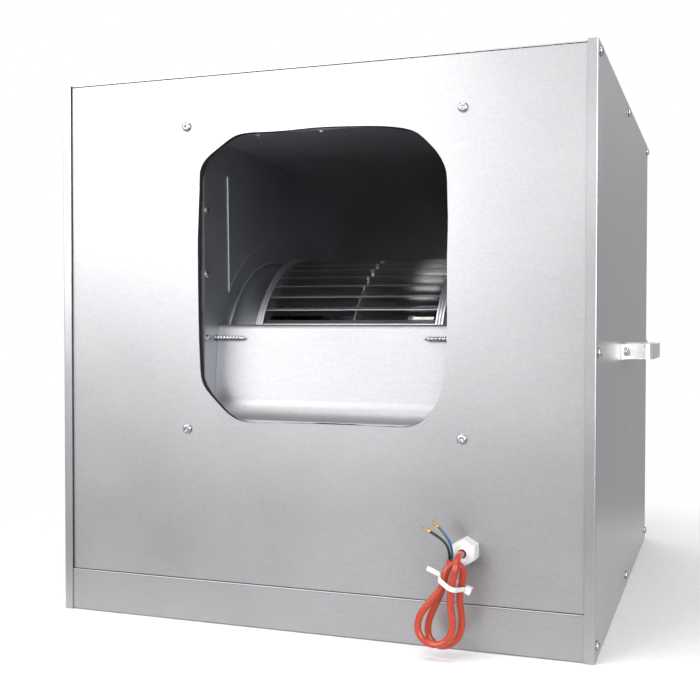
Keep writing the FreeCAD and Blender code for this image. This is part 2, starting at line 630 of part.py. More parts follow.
def side_plate(side):
    """Flat cheek of the scroll with its seam lip and the hole for the inlet cone."""
    x0 = PLATE_RIGHT_X if side > 0 else PLATE_LEFT_X - SHEET
    lip = SHEET + SEAM_LIP
    path = scroll_edges(lip)
    first, last = ends(path)
    corner = V(0, SCROLL_Y, OUTLET_LOW_Z - lip)
    face = closed_face([path, [line(last, corner), line(corner, first)]])
    plate = face.extrude(V(SHEET, 0, 0))
    plate.translate(V(x0, 0, 0))
    plate = plate.fuse(pressed_line(side)).removeSplitter()
    hole_r = INLET_FLARE_R + FIT
    lip_x = PLATE_RIGHT_X - INLET_LIP if side > 0 else PLATE_LEFT_X
    plate = plate.fuse(ring(AXIS + V(lip_x, 0, 0), X_AXIS, hole_r + SHEET, hole_r, INLET_LIP))
    plate = plate.cut(rod(AXIS + V(x0 - SHEET, 0, 0), X_AXIS, hole_r, 3 * SHEET)).removeSplitter()
    plate = holes(plate, [cutoff_screw_seat(side)], X_AXIS, CUTOFF_SCREW_R + HOLE_PLAY, SCREW_LENGTH)
    plate = holes(plate, foot_bolt_points(side), X_AXIS, BOLT_R + HOLE_PLAY, SCREW_LENGTH)
    rivets = [p for p, d in flange_rivets_at() if d.x * side < 0]
    plate = holes(plate, rivets, X_AXIS, RIVET_R + HOLE_PLAY, SCREW_LENGTH)
    if side > 0:
        plate = holes(plate, arm_bolt_points(), X_AXIS, BOLT_R + HOLE_PLAY, 4 * GROMMET_LENGTH)
    return plate


def inlet_cone(side):
    """Bell mouth: a rim on the outside of the side plate that curves in to the throat."""
    rim_x = plate_outer_x(side) + side * FIT
    face_x = rim_x + side * SHEET
    wheel_end = WHEEL_X + side * WHEEL_WIDTH / 2
    throat_x = wheel_end + side * THROAT_GAP
    reach = abs(face_x - throat_x)
    drop = INLET_FLARE_R - THROAT_R

    def bell(inset):
        points = []
        for i in range(5):
            a = math.radians(90 * i / 4)
            x = throat_x + side * (reach - inset) * math.cos(a)
            points.append(AXIS + V(x, 0, INLET_FLARE_R - (drop - inset) * math.sin(a)))
        curve = Part.BSplineCurve()
        curve.interpolate(points)
        return curve.toShape()

    rim_r = INLET_FLARE_R + INLET_RIM
    flow = bell(0)
    back = bell(SHEET)
    a0, a1 = ends([flow])
    b0, b1 = ends([back])
    tip, heel = AXIS + V(face_x, 0, rim_r), AXIS + V(rim_x, 0, rim_r)
    edges = [flow, line(a1, b1), back, line(b0, heel), line(heel, tip), line(tip, a0)]
    return Part.Face(Part.Wire(Part.__sortEdges__(edges))).revolve(AXIS, X_AXIS, 360)


def flange_rivets_at():
    """Rivet places on the outlet's lips, each with the direction from its head into the sheet."""
    y = SCROLL_Y + FLANGE_LIP / 2
    places = []
    for side in (-1, 1):
        x = PLATE_RIGHT_X if side > 0 else PLATE_LEFT_X
        for i in (-1, 0, 1):
            places.append((V(x, y, OUTLET_MID_Z + RIVET_RISE + i * RIVET_PITCH), V(side * -1, 0, 0)))
    for i in (-0.5, 0.5):
        x = BLOWER_X - ROOF_RIVET_SHIFT + i * ROOF_RIVET_PITCH
        places.append((V(x, y, OUTLET_TOP_Z), V(0, 0, -1)))
    return places


def outlet_flange():
    """Angle frame round the outlet: a flat flange with lips that reach over the casing."""
    half = BLOWER_WIDTH / 2
    reach_x = half + OUTLET_FLANGE
    y1, lip_y = FLANGE_Y + SHEET, SCROLL_Y + FLANGE_LIP
    frame = box(BLOWER_X - reach_x, BLOWER_X + reach_x, FLANGE_Y, y1,
                OUTLET_LOW_Z - OUTLET_FLANGE, OUTLET_TOP_Z + OUTLET_FLANGE)
    lip_x, lip_z = half + SHEET + FIT, OUTLET_TOP_Z + SHEET + FIT
    low_z = OUTLET_LOW_Z + LIP_START
    for x0 in (BLOWER_X - lip_x - SHEET, BLOWER_X + lip_x):
        frame = frame.fuse(box(x0, x0 + SHEET, FLANGE_Y, lip_y, low_z, OUTLET_TOP_Z - 2 * FIT))
    roof_half = half - 2 * FIT
    x0, x1 = BLOWER_X - roof_half, BLOWER_X + roof_half
    frame = frame.fuse(box(x0, x1, FLANGE_Y, lip_y, lip_z, lip_z + SHEET))
    x0, x1 = BLOWER_X - half, BLOWER_X + half
    frame = frame.cut(box(x0, x1, FLANGE_Y - 1, y1 + 1, OUTLET_LOW_Z, OUTLET_TOP_Z))
    frame = holes(frame, outlet_screw_points(), Y_AXIS, SCREW_R + HOLE_PLAY, 4 * LINING)
    for point, way in flange_rivets_at():
        frame = holes(frame, [point], way, RIVET_R + HOLE_PLAY, SCREW_LENGTH)
    return frame


def flange_rivets():
    length = 2 * SHEET + 3 * FIT
    places = flange_rivets_at()
    return [screw(p + d * FIT, d * -1, RIVET_R, length, RIVET_HEAD_R, RIVET_HEAD_H) for p, d in places]


def cutoff_screw_seat(side):
    y, z = CUTOFF_NOSE_Y - CUTOFF_SCREW_OUT, CUTOFF_NOSE_Z - CUTOFF_SCREW_LOW
    return V(plate_outer_x(side) + side * FIT, y, z)


def cutoff_screws():
    return [screw(cutoff_screw_seat(side), V(-side, 0, 0), CUTOFF_SCREW_R, CUTOFF_SCREW_LENGTH,
                  SCREW_HEAD_R, SCREW_HEAD_H) for side in (-1, 1)]


# Blower wheel

def wheel_ring(side):
    """End ring: a flat annulus over the blades' ends with a ridged band round their tips."""
    x0 = WHEEL_X + side * WHEEL_WIDTH / 2
    x1, x2 = x0 - side * SHEET, x0 - side * RING_BAND
    root, tip = WHEEL_R - BLADE_DEPTH, WHEEL_R + FIT
    band = [(x0 + (x2 - x0) * share, tip + SHEET + RING_RIDGE * up) for share, up in RING_RIDGES]
    return revolve_x([(x0, root)] + band + [(x2, tip), (x1, tip), (x1, root)])


def blade_face(x):
    """Section of a forward-curved blade: an arc from its root to its leading tip."""
    root, tip = WHEEL_R - BLADE_DEPTH, WHEEL_R
    middle = (root + tip) / 2

    def bowed(inset):
        lead = math.degrees(inset / WHEEL_R)
        a, b, c = polar(x, root, lead), polar(x, middle, BLADE_BOW + lead), polar(x, tip, BLADE_SWEEP + lead)
        return Part.Arc(a, b, c).toShape()

    back, front = bowed(0), bowed(BLADE_GAUGE)
    a0, a1 = ends([back])
    b0, b1 = ends([front])
    return closed_face([[back, front], [line(a0, b0)], [line(a1, b1)]])


def wheel_blades():
    end_gap = SHEET + FIT
    x0 = WHEEL_X - WHEEL_WIDTH / 2 + end_gap
    blade = blade_face(x0).extrude(V(WHEEL_WIDTH - 2 * end_gap, 0, 0))
    notch_r = WHEEL_R - BLADE_DEPTH + DISC_BITE
    notch = rod(AXIS + V(DISC_X - DISC_GAUGE / 2 - FIT, 0, 0), X_AXIS, notch_r, DISC_GAUGE + 2 * FIT)
    blade = blade.cut(notch)
    blades = []
    for i in range(BLADE_COUNT):
        copy = blade.copy()
        copy.rotate(AXIS, X_AXIS, BLADE_PHASE + 360.0 * i / BLADE_COUNT)
        blades.append(copy)
    return Part.makeCompound(blades)


def wheel_disc():
    x0 = DISC_X - DISC_GAUGE / 2
    radius = WHEEL_R - BLADE_DEPTH + DISC_BITE - FIT
    return ring(AXIS + V(x0, 0, 0), X_AXIS, radius, SHAFT_R + HOLE_PLAY, DISC_GAUGE)


def hub_left_x():
    return DISC_X - DISC_GAUGE / 2 - FIT - HUB_LENGTH


def hub_screw_x():
    return hub_left_x() + HUB_LENGTH * 0.4


def wheel_hub():
    """Hub barrel with a flange on the disc, bored for the shaft and its clamp screw."""
    x0 = hub_left_x()
    x1 = x0 + HUB_LENGTH
    bore = SHAFT_R + RUN_PLAY
    flange_x = x1 - HUB_FLANGE
    outline = [(x0, bore), (x0, HUB_R), (flange_x, HUB_R), (flange_x, HUB_FLANGE_R), (x1, HUB_FLANGE_R)]
    hub = revolve_x(outline + [(x1, bore)])
    return hub.cut(rod(AXIS + V(hub_screw_x(), 0, 0), Z_AXIS, BOLT_R + HOLE_PLAY / 2, 2 * HUB_R))


def hub_clamp_screw():
    start = AXIS + V(hub_screw_x(), 0, SHAFT_R + RUN_PLAY)
    shank = rod(start, Z_AXIS, BOLT_R, HUB_R - SHAFT_R + BOLT_HEAD_H / 2)
    head = hexagon(start + V(0, 0, HUB_R - SHAFT_R + FIT), Z_AXIS, 2 * BOLT_HEAD_R * 0.87, BOLT_HEAD_H)
    return shank.fuse(head).removeSplitter()


def motor_shaft():
    x0 = hub_left_x() - SHAFT_STICK
    return rod(AXIS + V(x0, 0, 0), X_AXIS, SHAFT_R, MOTOR_END_X + SHAFT_STICK - x0)


# Motor and its support

def hexagon(start, direction, flats, length):
    """A hexagonal prism from the start point along the direction."""
    radius = flats / math.sqrt(3)
    turns = [math.radians(60 * i + 30) for i in range(6)]
    points = [V(radius * math.cos(a), radius * math.sin(a), 0) for a in turns]
    prism = Part.Face(Part.makePolygon(points + points[:1])).extrude(Z_AXIS * length)
    prism.Placement = FreeCAD.Placement(start, FreeCAD.Rotation(Z_AXIS, direction))
    return prism


def motor_shell():
    x0 = MOTOR_X + CAP_LENGTH + FIT / 2
    length = MOTOR_LENGTH - 2 * CAP_LENGTH - FIT
    return ring(AXIS + V(x0, 0, 0), X_AXIS, MOTOR_R, SHAFT_R + SHAFT_ROOM, length)


def motor_cap(side):
    """Domed end cap with a pocket for the bearing, open towards the shell."""
    end_x = MOTOR_END_X if side > 0 else MOTOR_X
    joint_x = end_x - side * CAP_LENGTH
    pocket_x = joint_x + side * (BEARING_WIDTH + FIT)
    shoulder_x = joint_x + side * CAP_SHOULDER
    pocket_r = BEARING_R + FIT
    hole_r = SHAFT_R + SHAFT_ROOM
    neck_x = end_x - side * CAP_NECK
    outline = [(joint_x, pocket_r), (joint_x, MOTOR_R), (shoulder_x, MOTOR_R), (neck_x, CAP_CROWN_R)]
    outline += [(neck_x, CAP_NECK_R), (end_x, CAP_NECK_R), (end_x, hole_r), (pocket_x, hole_r)]
    return revolve_x(outline + [(pocket_x, pocket_r)])


def motor_bearings():
    inner_x = MOTOR_X + CAP_LENGTH - FIT / 2 - BEARING_WIDTH
    outer_x = MOTOR_END_X - CAP_LENGTH + FIT / 2
    bore = SHAFT_R + RUN_PLAY
    return [ring(AXIS + V(x, 0, 0), X_AXIS, BEARING_R, bore, BEARING_WIDTH) for x in (inner_x, outer_x)]


def band_x():
    return MOTOR_X + CAP_LENGTH + FIT


def motor_band():
    inner = MOTOR_R + FIT
    band = ring(AXIS + V(band_x(), 0, 0), X_AXIS, inner + BAND_GAUGE, inner, BAND_WIDTH)
    for angle in arm_angles():
        band = band.cut(radial_rod(angle, 2 * MOTOR_R))
    return band


def arm_angles():
    return [ARM_FIRST + 360.0 * i / ARM_COUNT for i in range(ARM_COUNT)]


def radial_rod(angle, length):
    """The hole for a band bolt, from the axis outwards."""
    direction = polar(0, 1, angle) - AXIS
    start = AXIS + V(band_x() + BAND_WIDTH / 2, 0, 0) + direction * (MOTOR_R - FIT)
    return rod(start, direction, SCREW_R + HOLE_PLAY, length - MOTOR_R)


def arm_inner_r():
    return MOTOR_R + 2 * FIT + BAND_GAUGE


def arm_plane_x():
    return PLATE_RIGHT_X + SHEET + GROMMET_LENGTH + 2 * FIT


def arm_bolt_points():
    x = arm_plane_x() + ARM_GAUGE + FIT
    return [polar(x, ARM_REACH, angle) for angle in arm_angles()]


def motor_arms():
    """Bent flat strips from the motor's band to the rubber grommets on the side plate."""
    r0, r1 = arm_inner_r(), ARM_REACH + GROMMET_R
    x0, x1 = band_x(), arm_plane_x() + ARM_GAUGE
    in_x, in_r = x1 - ARM_GAUGE, r0 + ARM_GAUGE
    outline = [(x0, r0), (x1, r0), (x1, r1), (in_x, r1), (in_x, in_r), (x0, in_r)]
    points = [AXIS + V(x, -ARM_WIDTH / 2, r) for x, r in outline]
    strap = Part.Face(Part.makePolygon(points + points[:1])).extrude(V(0, ARM_WIDTH, 0))
    bend = AXIS + V(x1, 0, r0)
    corner = [e for e in strap.Edges
              if all(math.hypot(v.X - bend.x, v.Z - bend.z) < 1e-6 for v in e.Vertexes)]
    strap = strap.makeFillet(ARM_GAUGE, corner)
    arms = []
    for angle, bolt in zip(arm_angles(), arm_bolt_points()):
        arm = strap.copy()
        arm.rotate(AXIS, X_AXIS, angle - 90)
        arm = arm.cut(radial_rod(angle, 2 * MOTOR_R))
        arms.append(holes(arm, [bolt], X_AXIS, BOLT_R + HOLE_PLAY, 4 * ARM_GAUGE))
    return Part.makeCompound(arms)


def arm_grommets():
    x0 = PLATE_RIGHT_X + SHEET + FIT
    hole = BOLT_R + HOLE_PLAY
    return [ring(V(x0, p.y, p.z), X_AXIS, GROMMET_R, hole, GROMMET_LENGTH) for p in arm_bolt_points()]


def arm_bolts():
    length = ARM_GAUGE + GROMMET_LENGTH + SHEET + 2 * BOLT_R
    return [screw(p, V(-1, 0, 0), BOLT_R, length, BOLT_HEAD_R, BOLT_HEAD_H) for p in arm_bolt_points()]


def band_bolts():
    bolts = []
    for angle in arm_angles():
        direction = polar(0, 1, angle) - AXIS
        seat_r = arm_inner_r() + ARM_GAUGE + FIT
        seat = AXIS + V(band_x() + BAND_WIDTH / 2, 0, 0) + direction * seat_r
        length = seat_r - MOTOR_R - FIT
        bolts.append(screw(seat, direction * -1, SCREW_R, length, SCREW_HEAD_R, SCREW_HEAD_H))
    return bolts


# Feet, rubber mounts and bolts

def foot_plan(side):
    """X of the foot's upright face next to the side plate and of its outer edge."""
    near = plate_outer_x(side) + side * FIT
    return near, near + side * FOOT_WIDTH


def mount_points():
    points = []
    for side in (-1, 1):
        near, far = foot_plan(side)
        for end in (-1, 1):
            points.append(V((near + far) / 2, FOOT_Y + end * MOUNT_SPACING / 2, SHEET + FIT))
    return points


def foot_low_z():
    return SHEET + 2 * FIT + MOUNT_HEIGHT


def foot_top_z():
    return AXIS_Z - INLET_FLARE_R - INLET_RIM - FOOT_GAP


def foot_bolt_points(side):
    near, far = foot_plan(side)
    x = near + side * (FOOT_GAUGE + FIT)
    z = foot_top_z() - 3 * BOLT_R
    return [V(x, FOOT_Y + end * MOUNT_SPACING / 4, z) for end in (-1, 1)]


def blower_foot(side):
    """Steel angle along the bottom of a side plate, standing on two rubber mounts."""
    near, far = foot_plan(side)
    z0 = foot_low_z()
    outline = [(near, z0), (far, z0), (far, z0 + FOOT_GAUGE), (near + side * FOOT_GAUGE, z0 + FOOT_GAUGE)]
    outline += [(near + side * FOOT_GAUGE, foot_top_z()), (near, foot_top_z())]
    points = [V(x, FOOT_Y - FOOT_LENGTH / 2, z) for x, z in outline]
    foot = Part.Face(Part.makePolygon(points + points[:1])).extrude(V(0, FOOT_LENGTH, 0))
    foot = holes(foot, mount_points(), Z_AXIS, BOLT_R + HOLE_PLAY, 2 * MOUNT_HEIGHT)
    return holes(foot, foot_bolt_points(side), X_AXIS, BOLT_R + HOLE_PLAY, SCREW_LENGTH)


def rubber_mounts():
    """Rubber buffers with a waist."""
    mounts = []
    for point in mount_points():
        h, hole = MOUNT_HEIGHT, BOLT_R + HOLE_PLAY
        outline = [(hole, 0), (MOUNT_R, 0), (MOUNT_R, h / 4), (MOUNT_WAIST_R, h / 2), (MOUNT_R, h - h / 4)]
        outline += [(MOUNT_R, h), (hole, h)]
        points = [point + V(r, 0, z) for r, z in outline]
        mounts.append(Part.Face(Part.makePolygon(points + points[:1])).revolve(point, Z_AXIS, 360))
    return mounts


def mount_bolts():
    top = foot_low_z() + FOOT_GAUGE + FIT
    seats = [V(p.x, p.y, top) for p in mount_points()]
    return [screw(p, V(0, 0, -1), BOLT_R, top - FIT, BOLT_HEAD_R, BOLT_HEAD_H) for p in seats]


def foot_bolts():
    bolts = []
    for side in (-1, 1):
        for point in foot_bolt_points(side):
            length = FOOT_GAUGE + SHEET + 2 * BOLT_R
            bolts.append(screw(point, V(-side, 0, 0), BOLT_R, length, BOLT_HEAD_R, BOLT_HEAD_H))
    return bolts


# Air intake

def intake_rivet_points():
    reach = INTAKE_R + INTAKE_RIM / 2
    turns = [math.radians(360.0 * (i + 0.5) / INTAKE_RIVETS) for i in range(INTAKE_RIVETS)]
    return [V(reach * math.cos(a), SHEET + 2 * FIT - PANEL_Y, INTAKE_Z + reach * math.sin(a)) for a in turns]


def intake_collar():
    """Round spigot with a flat rim on the rear panel."""
    seat = V(0, FIT - PANEL_Y, INTAKE_Z)
    tube = ring(seat, Y_AXIS, INTAKE_R, INTAKE_R - SHEET, INTAKE_LENGTH)
    rim = ring(seat, Y_AXIS, INTAKE_R + INTAKE_RIM, INTAKE_R - SHEET, SHEET)
    collar = tube.fuse(rim).removeSplitter()
    return holes(collar, intake_rivet_points(), Y_AXIS, RIVET_R + HOLE_PLAY, SCREW_LENGTH)


def intake_rivets():
    length = 2 * SHEET + 3 * FIT
    seats = intake_rivet_points()
    return [screw(p, V(0, -1, 0), RIVET_R, length, RIVET_HEAD_R, RIVET_HEAD_H) for p in seats]


# Capacitor

def capacitor_axis_z():
    return SHEET + FIT + CAPACITOR_R


def capacitor():
    """Round can with a stepped terminal end."""
    start = V(CAPACITOR_X, CAPACITOR_Y - CAPACITOR_LENGTH / 2, capacitor_axis_z())
    can = rod(start, Y_AXIS, CAPACITOR_R, CAPACITOR_LENGTH * 0.9)
    return can.fuse(rod(start, Y_AXIS, CAPACITOR_R * 0.8, CAPACITOR_LENGTH)).removeSplitter()


def capacitor_clip():
    """Strap over the can with an ear on each side."""
    y0, y1 = CAPACITOR_Y - CLIP_WIDTH / 2, CAPACITOR_Y + CLIP_WIDTH / 2
    low, mid = SHEET + FIT, capacitor_axis_z()
    half = CAPACITOR_R + CLIP_EAR

    def block(reach, z0, z1):
        return box(CAPACITOR_X - reach, CAPACITOR_X + reach, y0, y1, z0, z1)

    def saddle(radius):
        cylinder = rod(V(CAPACITOR_X, y0, mid), Y_AXIS, radius, CLIP_WIDTH)
        return cylinder.fuse(block(radius, low - radius, mid))

    inner = CAPACITOR_R + FIT
    strap = saddle(inner + CLIP_GAUGE).fuse(block(half, low, low + CLIP_GAUGE)).cut(saddle(inner))
    room = block(half, low, mid + 2 * CAPACITOR_R)
    return strap.common(room).removeSplitter()


# Cable gland

def gland_bore():
    return CORD_D / 2 + GLAND_PLAY


def gland_thread_end_y():
    return PANEL_BACK_Y + FIT + GLAND_NUT + GLAND_PLAY


def gland_body():
    """Hexagon on the front panel with its thread through the sheet."""
    front = V(GLAND_X, PANEL_Y - GLAND_BODY, GLAND_Z)
    body = hexagon(front, Y_AXIS, GLAND_HEX, GLAND_BODY - FIT)
    body = body.fuse(rod(front, Y_AXIS, GLAND_THREAD_R, gland_thread_end_y() - front.y))
    return body.cut(rod(front, Y_AXIS, gland_bore(), 10 * GLAND_BODY)).removeSplitter()


def gland_cap():
    """Hexagonal cap nut that rounds off towards the cord."""
    front = V(GLAND_X, GLAND_END_Y, GLAND_Z)
    length = GLAND_CAP - FIT
    cap = hexagon(front, Y_AXIS, GLAND_HEX, length)
    full = GLAND_HEX / math.sqrt(3)
    outline = [V(0, 0, 0), V(GLAND_MOUTH_R, 0, 0), V(GLAND_BROW_R, GLAND_BROW, 0), V(full, length / 2, 0)]
    outline += [V(full, length, 0), V(0, length, 0)]
    dome = Part.Face(Part.makePolygon(outline + outline[:1])).revolve(V(0, 0, 0), Y_AXIS, 360)
    dome.translate(front)
    return cap.common(dome).cut(rod(front, Y_AXIS, gland_bore(), GLAND_CAP))


def gland_locknut():
    start = V(GLAND_X, PANEL_BACK_Y + FIT, GLAND_Z)
    nut = hexagon(start, Y_AXIS, GLAND_HEX, GLAND_NUT)
    return nut.cut(rod(start, Y_AXIS, GLAND_THREAD_R + HOLE_PLAY / 2, GLAND_NUT))


# Cords

def tube(name, route, diameter):
    """A round cord on a route of points: straight runs joined by tangent arcs as large as fit."""
    points = route
    edges, radii = [], []
    here = points[0]
    for before, corner, after in zip(points, points[1:], points[2:]):
        back, ahead = before - corner, after - corner
        run = 0.45 * min(back.Length, ahead.Length)
        back.normalize()
        ahead.normalize()
        half_turn = (math.pi - back.getAngle(ahead)) / 2
        radius = run / math.tan(half_turn)
        start, end = corner + back * run, corner + ahead * run
        inward = back + ahead
        inward.normalize()
        middle = corner + inward * (math.hypot(radius, run) - radius)
        edges += [line(here, start), Part.Arc(start, middle, end).toShape()]
        radii.append(radius)
        here = end
    edges.append(line(here, points[-1]))
    path = Part.Wire(edges)
    section = Part.Wire(Part.Circle(points[0], points[1] - points[0], diameter / 2).toShape())
    solid = path.makePipeShell([section], True, False)
    share = solid.Volume / (math.pi * diameter ** 2 / 4 * path.Length)
    print(name, "length %.1f least radius %.1f volume share %.3f" % (path.Length, min(radii), share))
    print(name, "least gap to itself %.2f" % self_gap(path, diameter))
    return solid


def self_gap(path, diameter):
    """Least gap of a cord to itself, between points further apart along it than a tight half turn."""
    step = diameter / 3
    samples = path.discretize(Number=int(path.Length / step))
    apart = int(math.ceil(math.pi * diameter * 1.2 / step))
    least = path.Length
    for i, a in enumerate(samples):
        for b in samples[i + apart:]:
            least = min(least, a.distanceToPoint(b))
    return least - diameter


def from_mouth(route):
    """A route given from the gland's mouth, as points of the box."""
    return [GLAND_MOUTH + V(*p) for p in route]


def supply_cord():
    return tube("supply_cord", [GLAND_MOUTH] + from_mouth(CORD_ROUTE), CORD_D)


def core(name, route):
    return tube(name, from_mouth(route), CORE_D)


def ferrule(route):
    """Crimped end of a core, open fork towards the tip."""
    before, last = from_mouth(route)[-2:]
    direction = last - before
    direction.normalize()
    barrel = rod(last + direction * FIT, direction, FERRULE_R, FERRULE_LENGTH * 0.55)
    tip = rod(last + direction * FIT, direction, FERRULE_R * 0.55, FERRULE_LENGTH)
    return barrel.fuse(tip).removeSplitter()


def tie_strands():
    """Where the strands pass the tie, seen with the tie set level, in order round their middle."""
    level = FreeCAD.Rotation(Y_AXIS, -TIE_TILT)
    points = [TIE_MIDDLE + level.multVec(p - TIE_MIDDLE) for p in from_mouth(CORD_ROUTE)]
    strands = []
    for a, b in zip(points, points[1:]):
        if (a.z - TIE_Z) * (b.z - TIE_Z) < 0:
            strands.append(a + (b - a) * ((TIE_Z - a.z) / (b.z - a.z)))
    middle = sum(strands, V(0, 0, 0)) * (1.0 / len(strands))
    return sorted(strands, key=lambda p: math.atan2(p.y - middle.y, p.x - middle.x))


def tie_ring(strands):
    """Band round the strands: their hull, set off by the cord's radius."""
    hull = Part.makePolygon([V(p.x, p.y, TIE_Z - TIE_WIDTH / 2) for p in strands + strands[:1]])
    inner = Part.Face(hull.makeOffset2D(CORD_D / 2 + TIE_PLAY, 0))
    outer = Part.Face(hull.makeOffset2D(CORD_D / 2 + TIE_PLAY + TIE_GAUGE, 0))
    return outer.cut(inner).extrude(V(0, 0, TIE_WIDTH))


def cable_tie():
    """Ring of the tie with its lock on the right and its cut tail to the left."""
    strands = tie_strands()
    band = tie_ring(strands)
    left, right = min(strands, key=lambda p: p.x), max(strands, key=lambda p: p.x)
    size = band.BoundBox
    z0, z1 = TIE_Z - TIE_WIDTH / 2, TIE_Z + TIE_WIDTH / 2
    lock = box(size.XMax - TIE_GAUGE / 2, size.XMax + TIE_HEAD_DEPTH, right.y - TIE_HEAD / 2,
               right.y + TIE_HEAD / 2, z0 - TIE_HEAD_RIM, z1 + TIE_HEAD_RIM)
    tail_y = left.y - TIE_GAUGE / 2
    tail = box(size.XMin - TIE_TAIL, size.XMin + TIE_GAUGE / 2, tail_y, tail_y + TIE_GAUGE, z0, z1)
    tie = band.fuse([lock, tail]).removeSplitter()
    tie.rotate(TIE_MIDDLE, Y_AXIS, TIE_TILT)
    return tie


def motor_lead():
    start = V(GLAND_X, gland_thread_end_y(), GLAND_Z)
    finish = AXIS + V(MOTOR_END_X, 0, 0)
    route = [start] + [start + V(*p) for p in LEAD_START] + [finish + V(*p) for p in LEAD_FINISH]
    return tube("motor_lead", route, LEAD_D)


def box_screws(points, inward):
    seats = [p - inward * FIT for p in points]
    return [screw(p, inward, SCREW_R, SCREW_LENGTH, SCREW_HEAD_R, SCREW_HEAD_H) for p in seats]


def side_screws(places):
    screws = []
    for side in (-1, 1):
        screws += box_screws(places(side), V(-side, 0, 0))
    return screws


def outlet_screws():
    length = FLANGE_Y + SHEET - PANEL_Y + SCREW_LENGTH / 2
    seats = [p - Y_AXIS * FIT for p in outlet_screw_points()]
    return [screw(p, Y_AXIS, SCREW_R, length, SCREW_HEAD_R, SCREW_HEAD_H) for p in seats]


group = Part.makeCompound
PIECES = {
    "base_tray": base_tray(),
    "front_panel": front_panel(),
    "rear_panel": rear_panel(),
    "top_panel": top_panel(),
    "left_side_panel": side_panel(-1),
    "right_side_panel": side_panel(1),
    "front_lining": end_lining(1),
    "rear_lining": end_lining(-1),
    "left_lining": side_lining(-1),
    "right_lining": side_lining(1),
    "top_lining": flat_lining(ROOM_TOP_Z),
    "base_lining": base_lining(),
    "side_panel_screws": group(side_screws(side_screw_points)),
    "outlet_screws": group(outlet_screws()),
    "left_handle": handle(-1),
    "right_handle": handle(1),
    "handle_screws": group(side_screws(handle_screw_points)),
    "intake_collar": intake_collar(),
    "intake_rivets": group(intake_rivets()),
    "scroll_wrap": scroll_wrap(),
    "left_side_plate": side_plate(-1),
    "right_side_plate": side_plate(1),
    "left_inlet_cone": inlet_cone(-1),
    "right_inlet_cone": inlet_cone(1),
    "cutoff_plate": cutoff_plate(),
    "cutoff_screws": group(cutoff_screws()),
    "outlet_flange": outlet_flange(),
    "flange_rivets": group(flange_rivets()),
    "left_foot": blower_foot(-1),
    "right_foot": blower_foot(1),
    "foot_bolts": group(foot_bolts() + mount_bolts()),
    "rubber_mounts": group(rubber_mounts()),
    "wheel_left_ring": wheel_ring(-1),
    "wheel_right_ring": wheel_ring(1),
    "wheel_blades": wheel_blades(),
    "wheel_disc": wheel_disc(),
    "wheel_hub": wheel_hub(),
    "hub_clamp_screw": hub_clamp_screw(),
    "motor_shaft": motor_shaft(),
    "motor_shell": motor_shell(),
    "motor_inner_cap": motor_cap(-1),
    "motor_outer_cap": motor_cap(1),
    "motor_bearings": group(motor_bearings()),
    "motor_band": motor_band(),
    "motor_arms": motor_arms(),
    "arm_grommets": group(arm_grommets()),
    "arm_bolts": group(arm_bolts()),
    "band_bolts": group(band_bolts()),
    "capacitor": capacitor(),
    "capacitor_clip": capacitor_clip(),
    "motor_lead": motor_lead(),
    "gland_body": gland_body(),
    "gland_cap": gland_cap(),
    "gland_locknut": gland_locknut(),
    "supply_cord": supply_cord(),
    "blue_core": core("blue_core", BLUE_ROUTE),
    "black_core": core("black_core", BLACK_ROUTE),
    "earth_core": core("earth_core", EARTH_ROUTE),
    "core_ferrules": group([ferrule(route) for route in (BLUE_ROUTE, BLACK_ROUTE)]),
    "cable_tie": cable_tie(),
}
for node, piece in PIECES.items():
    save(node, piece)
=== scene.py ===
"""Looks of the box exhaust fan: finishes, foam lining, cord hank, fasteners and studio."""
import math

import bmesh
import bpy
from mathutils import Matrix, Vector


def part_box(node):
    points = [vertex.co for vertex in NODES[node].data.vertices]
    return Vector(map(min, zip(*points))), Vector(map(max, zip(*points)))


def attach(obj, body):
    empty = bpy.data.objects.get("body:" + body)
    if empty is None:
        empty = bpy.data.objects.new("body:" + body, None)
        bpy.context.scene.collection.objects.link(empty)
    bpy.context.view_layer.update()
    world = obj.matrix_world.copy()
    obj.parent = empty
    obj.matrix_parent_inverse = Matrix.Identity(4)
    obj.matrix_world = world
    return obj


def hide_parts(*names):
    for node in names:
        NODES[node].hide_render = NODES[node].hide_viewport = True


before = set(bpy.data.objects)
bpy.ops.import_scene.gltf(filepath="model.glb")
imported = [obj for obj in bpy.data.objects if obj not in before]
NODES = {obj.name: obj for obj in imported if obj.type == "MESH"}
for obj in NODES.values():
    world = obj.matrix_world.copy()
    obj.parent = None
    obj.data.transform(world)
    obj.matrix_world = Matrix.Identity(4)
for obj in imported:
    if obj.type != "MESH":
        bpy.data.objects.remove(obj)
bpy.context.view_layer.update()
MM = 0.001
HOUSING = "housing"
X_AXIS = Vector((1, 0, 0))
Y_AXIS = Vector((0, 1, 0))
Z_AXIS = Vector((0, 0, 1))
WELD = 1e-6            # metres; points closer than this are one

# Camera of the photograph, in millimetres and degrees
CAMERA_PLACE = (347.7, -1121.9, 271.2)
CAMERA_YAW = 19.79
CAMERA_PITCH = 1.30
CAMERA_ROLL = 0.07
LENS = 53.92
SENSOR = 36.0
CAMERA_CLIP = (0.05, 30.0)     # metres

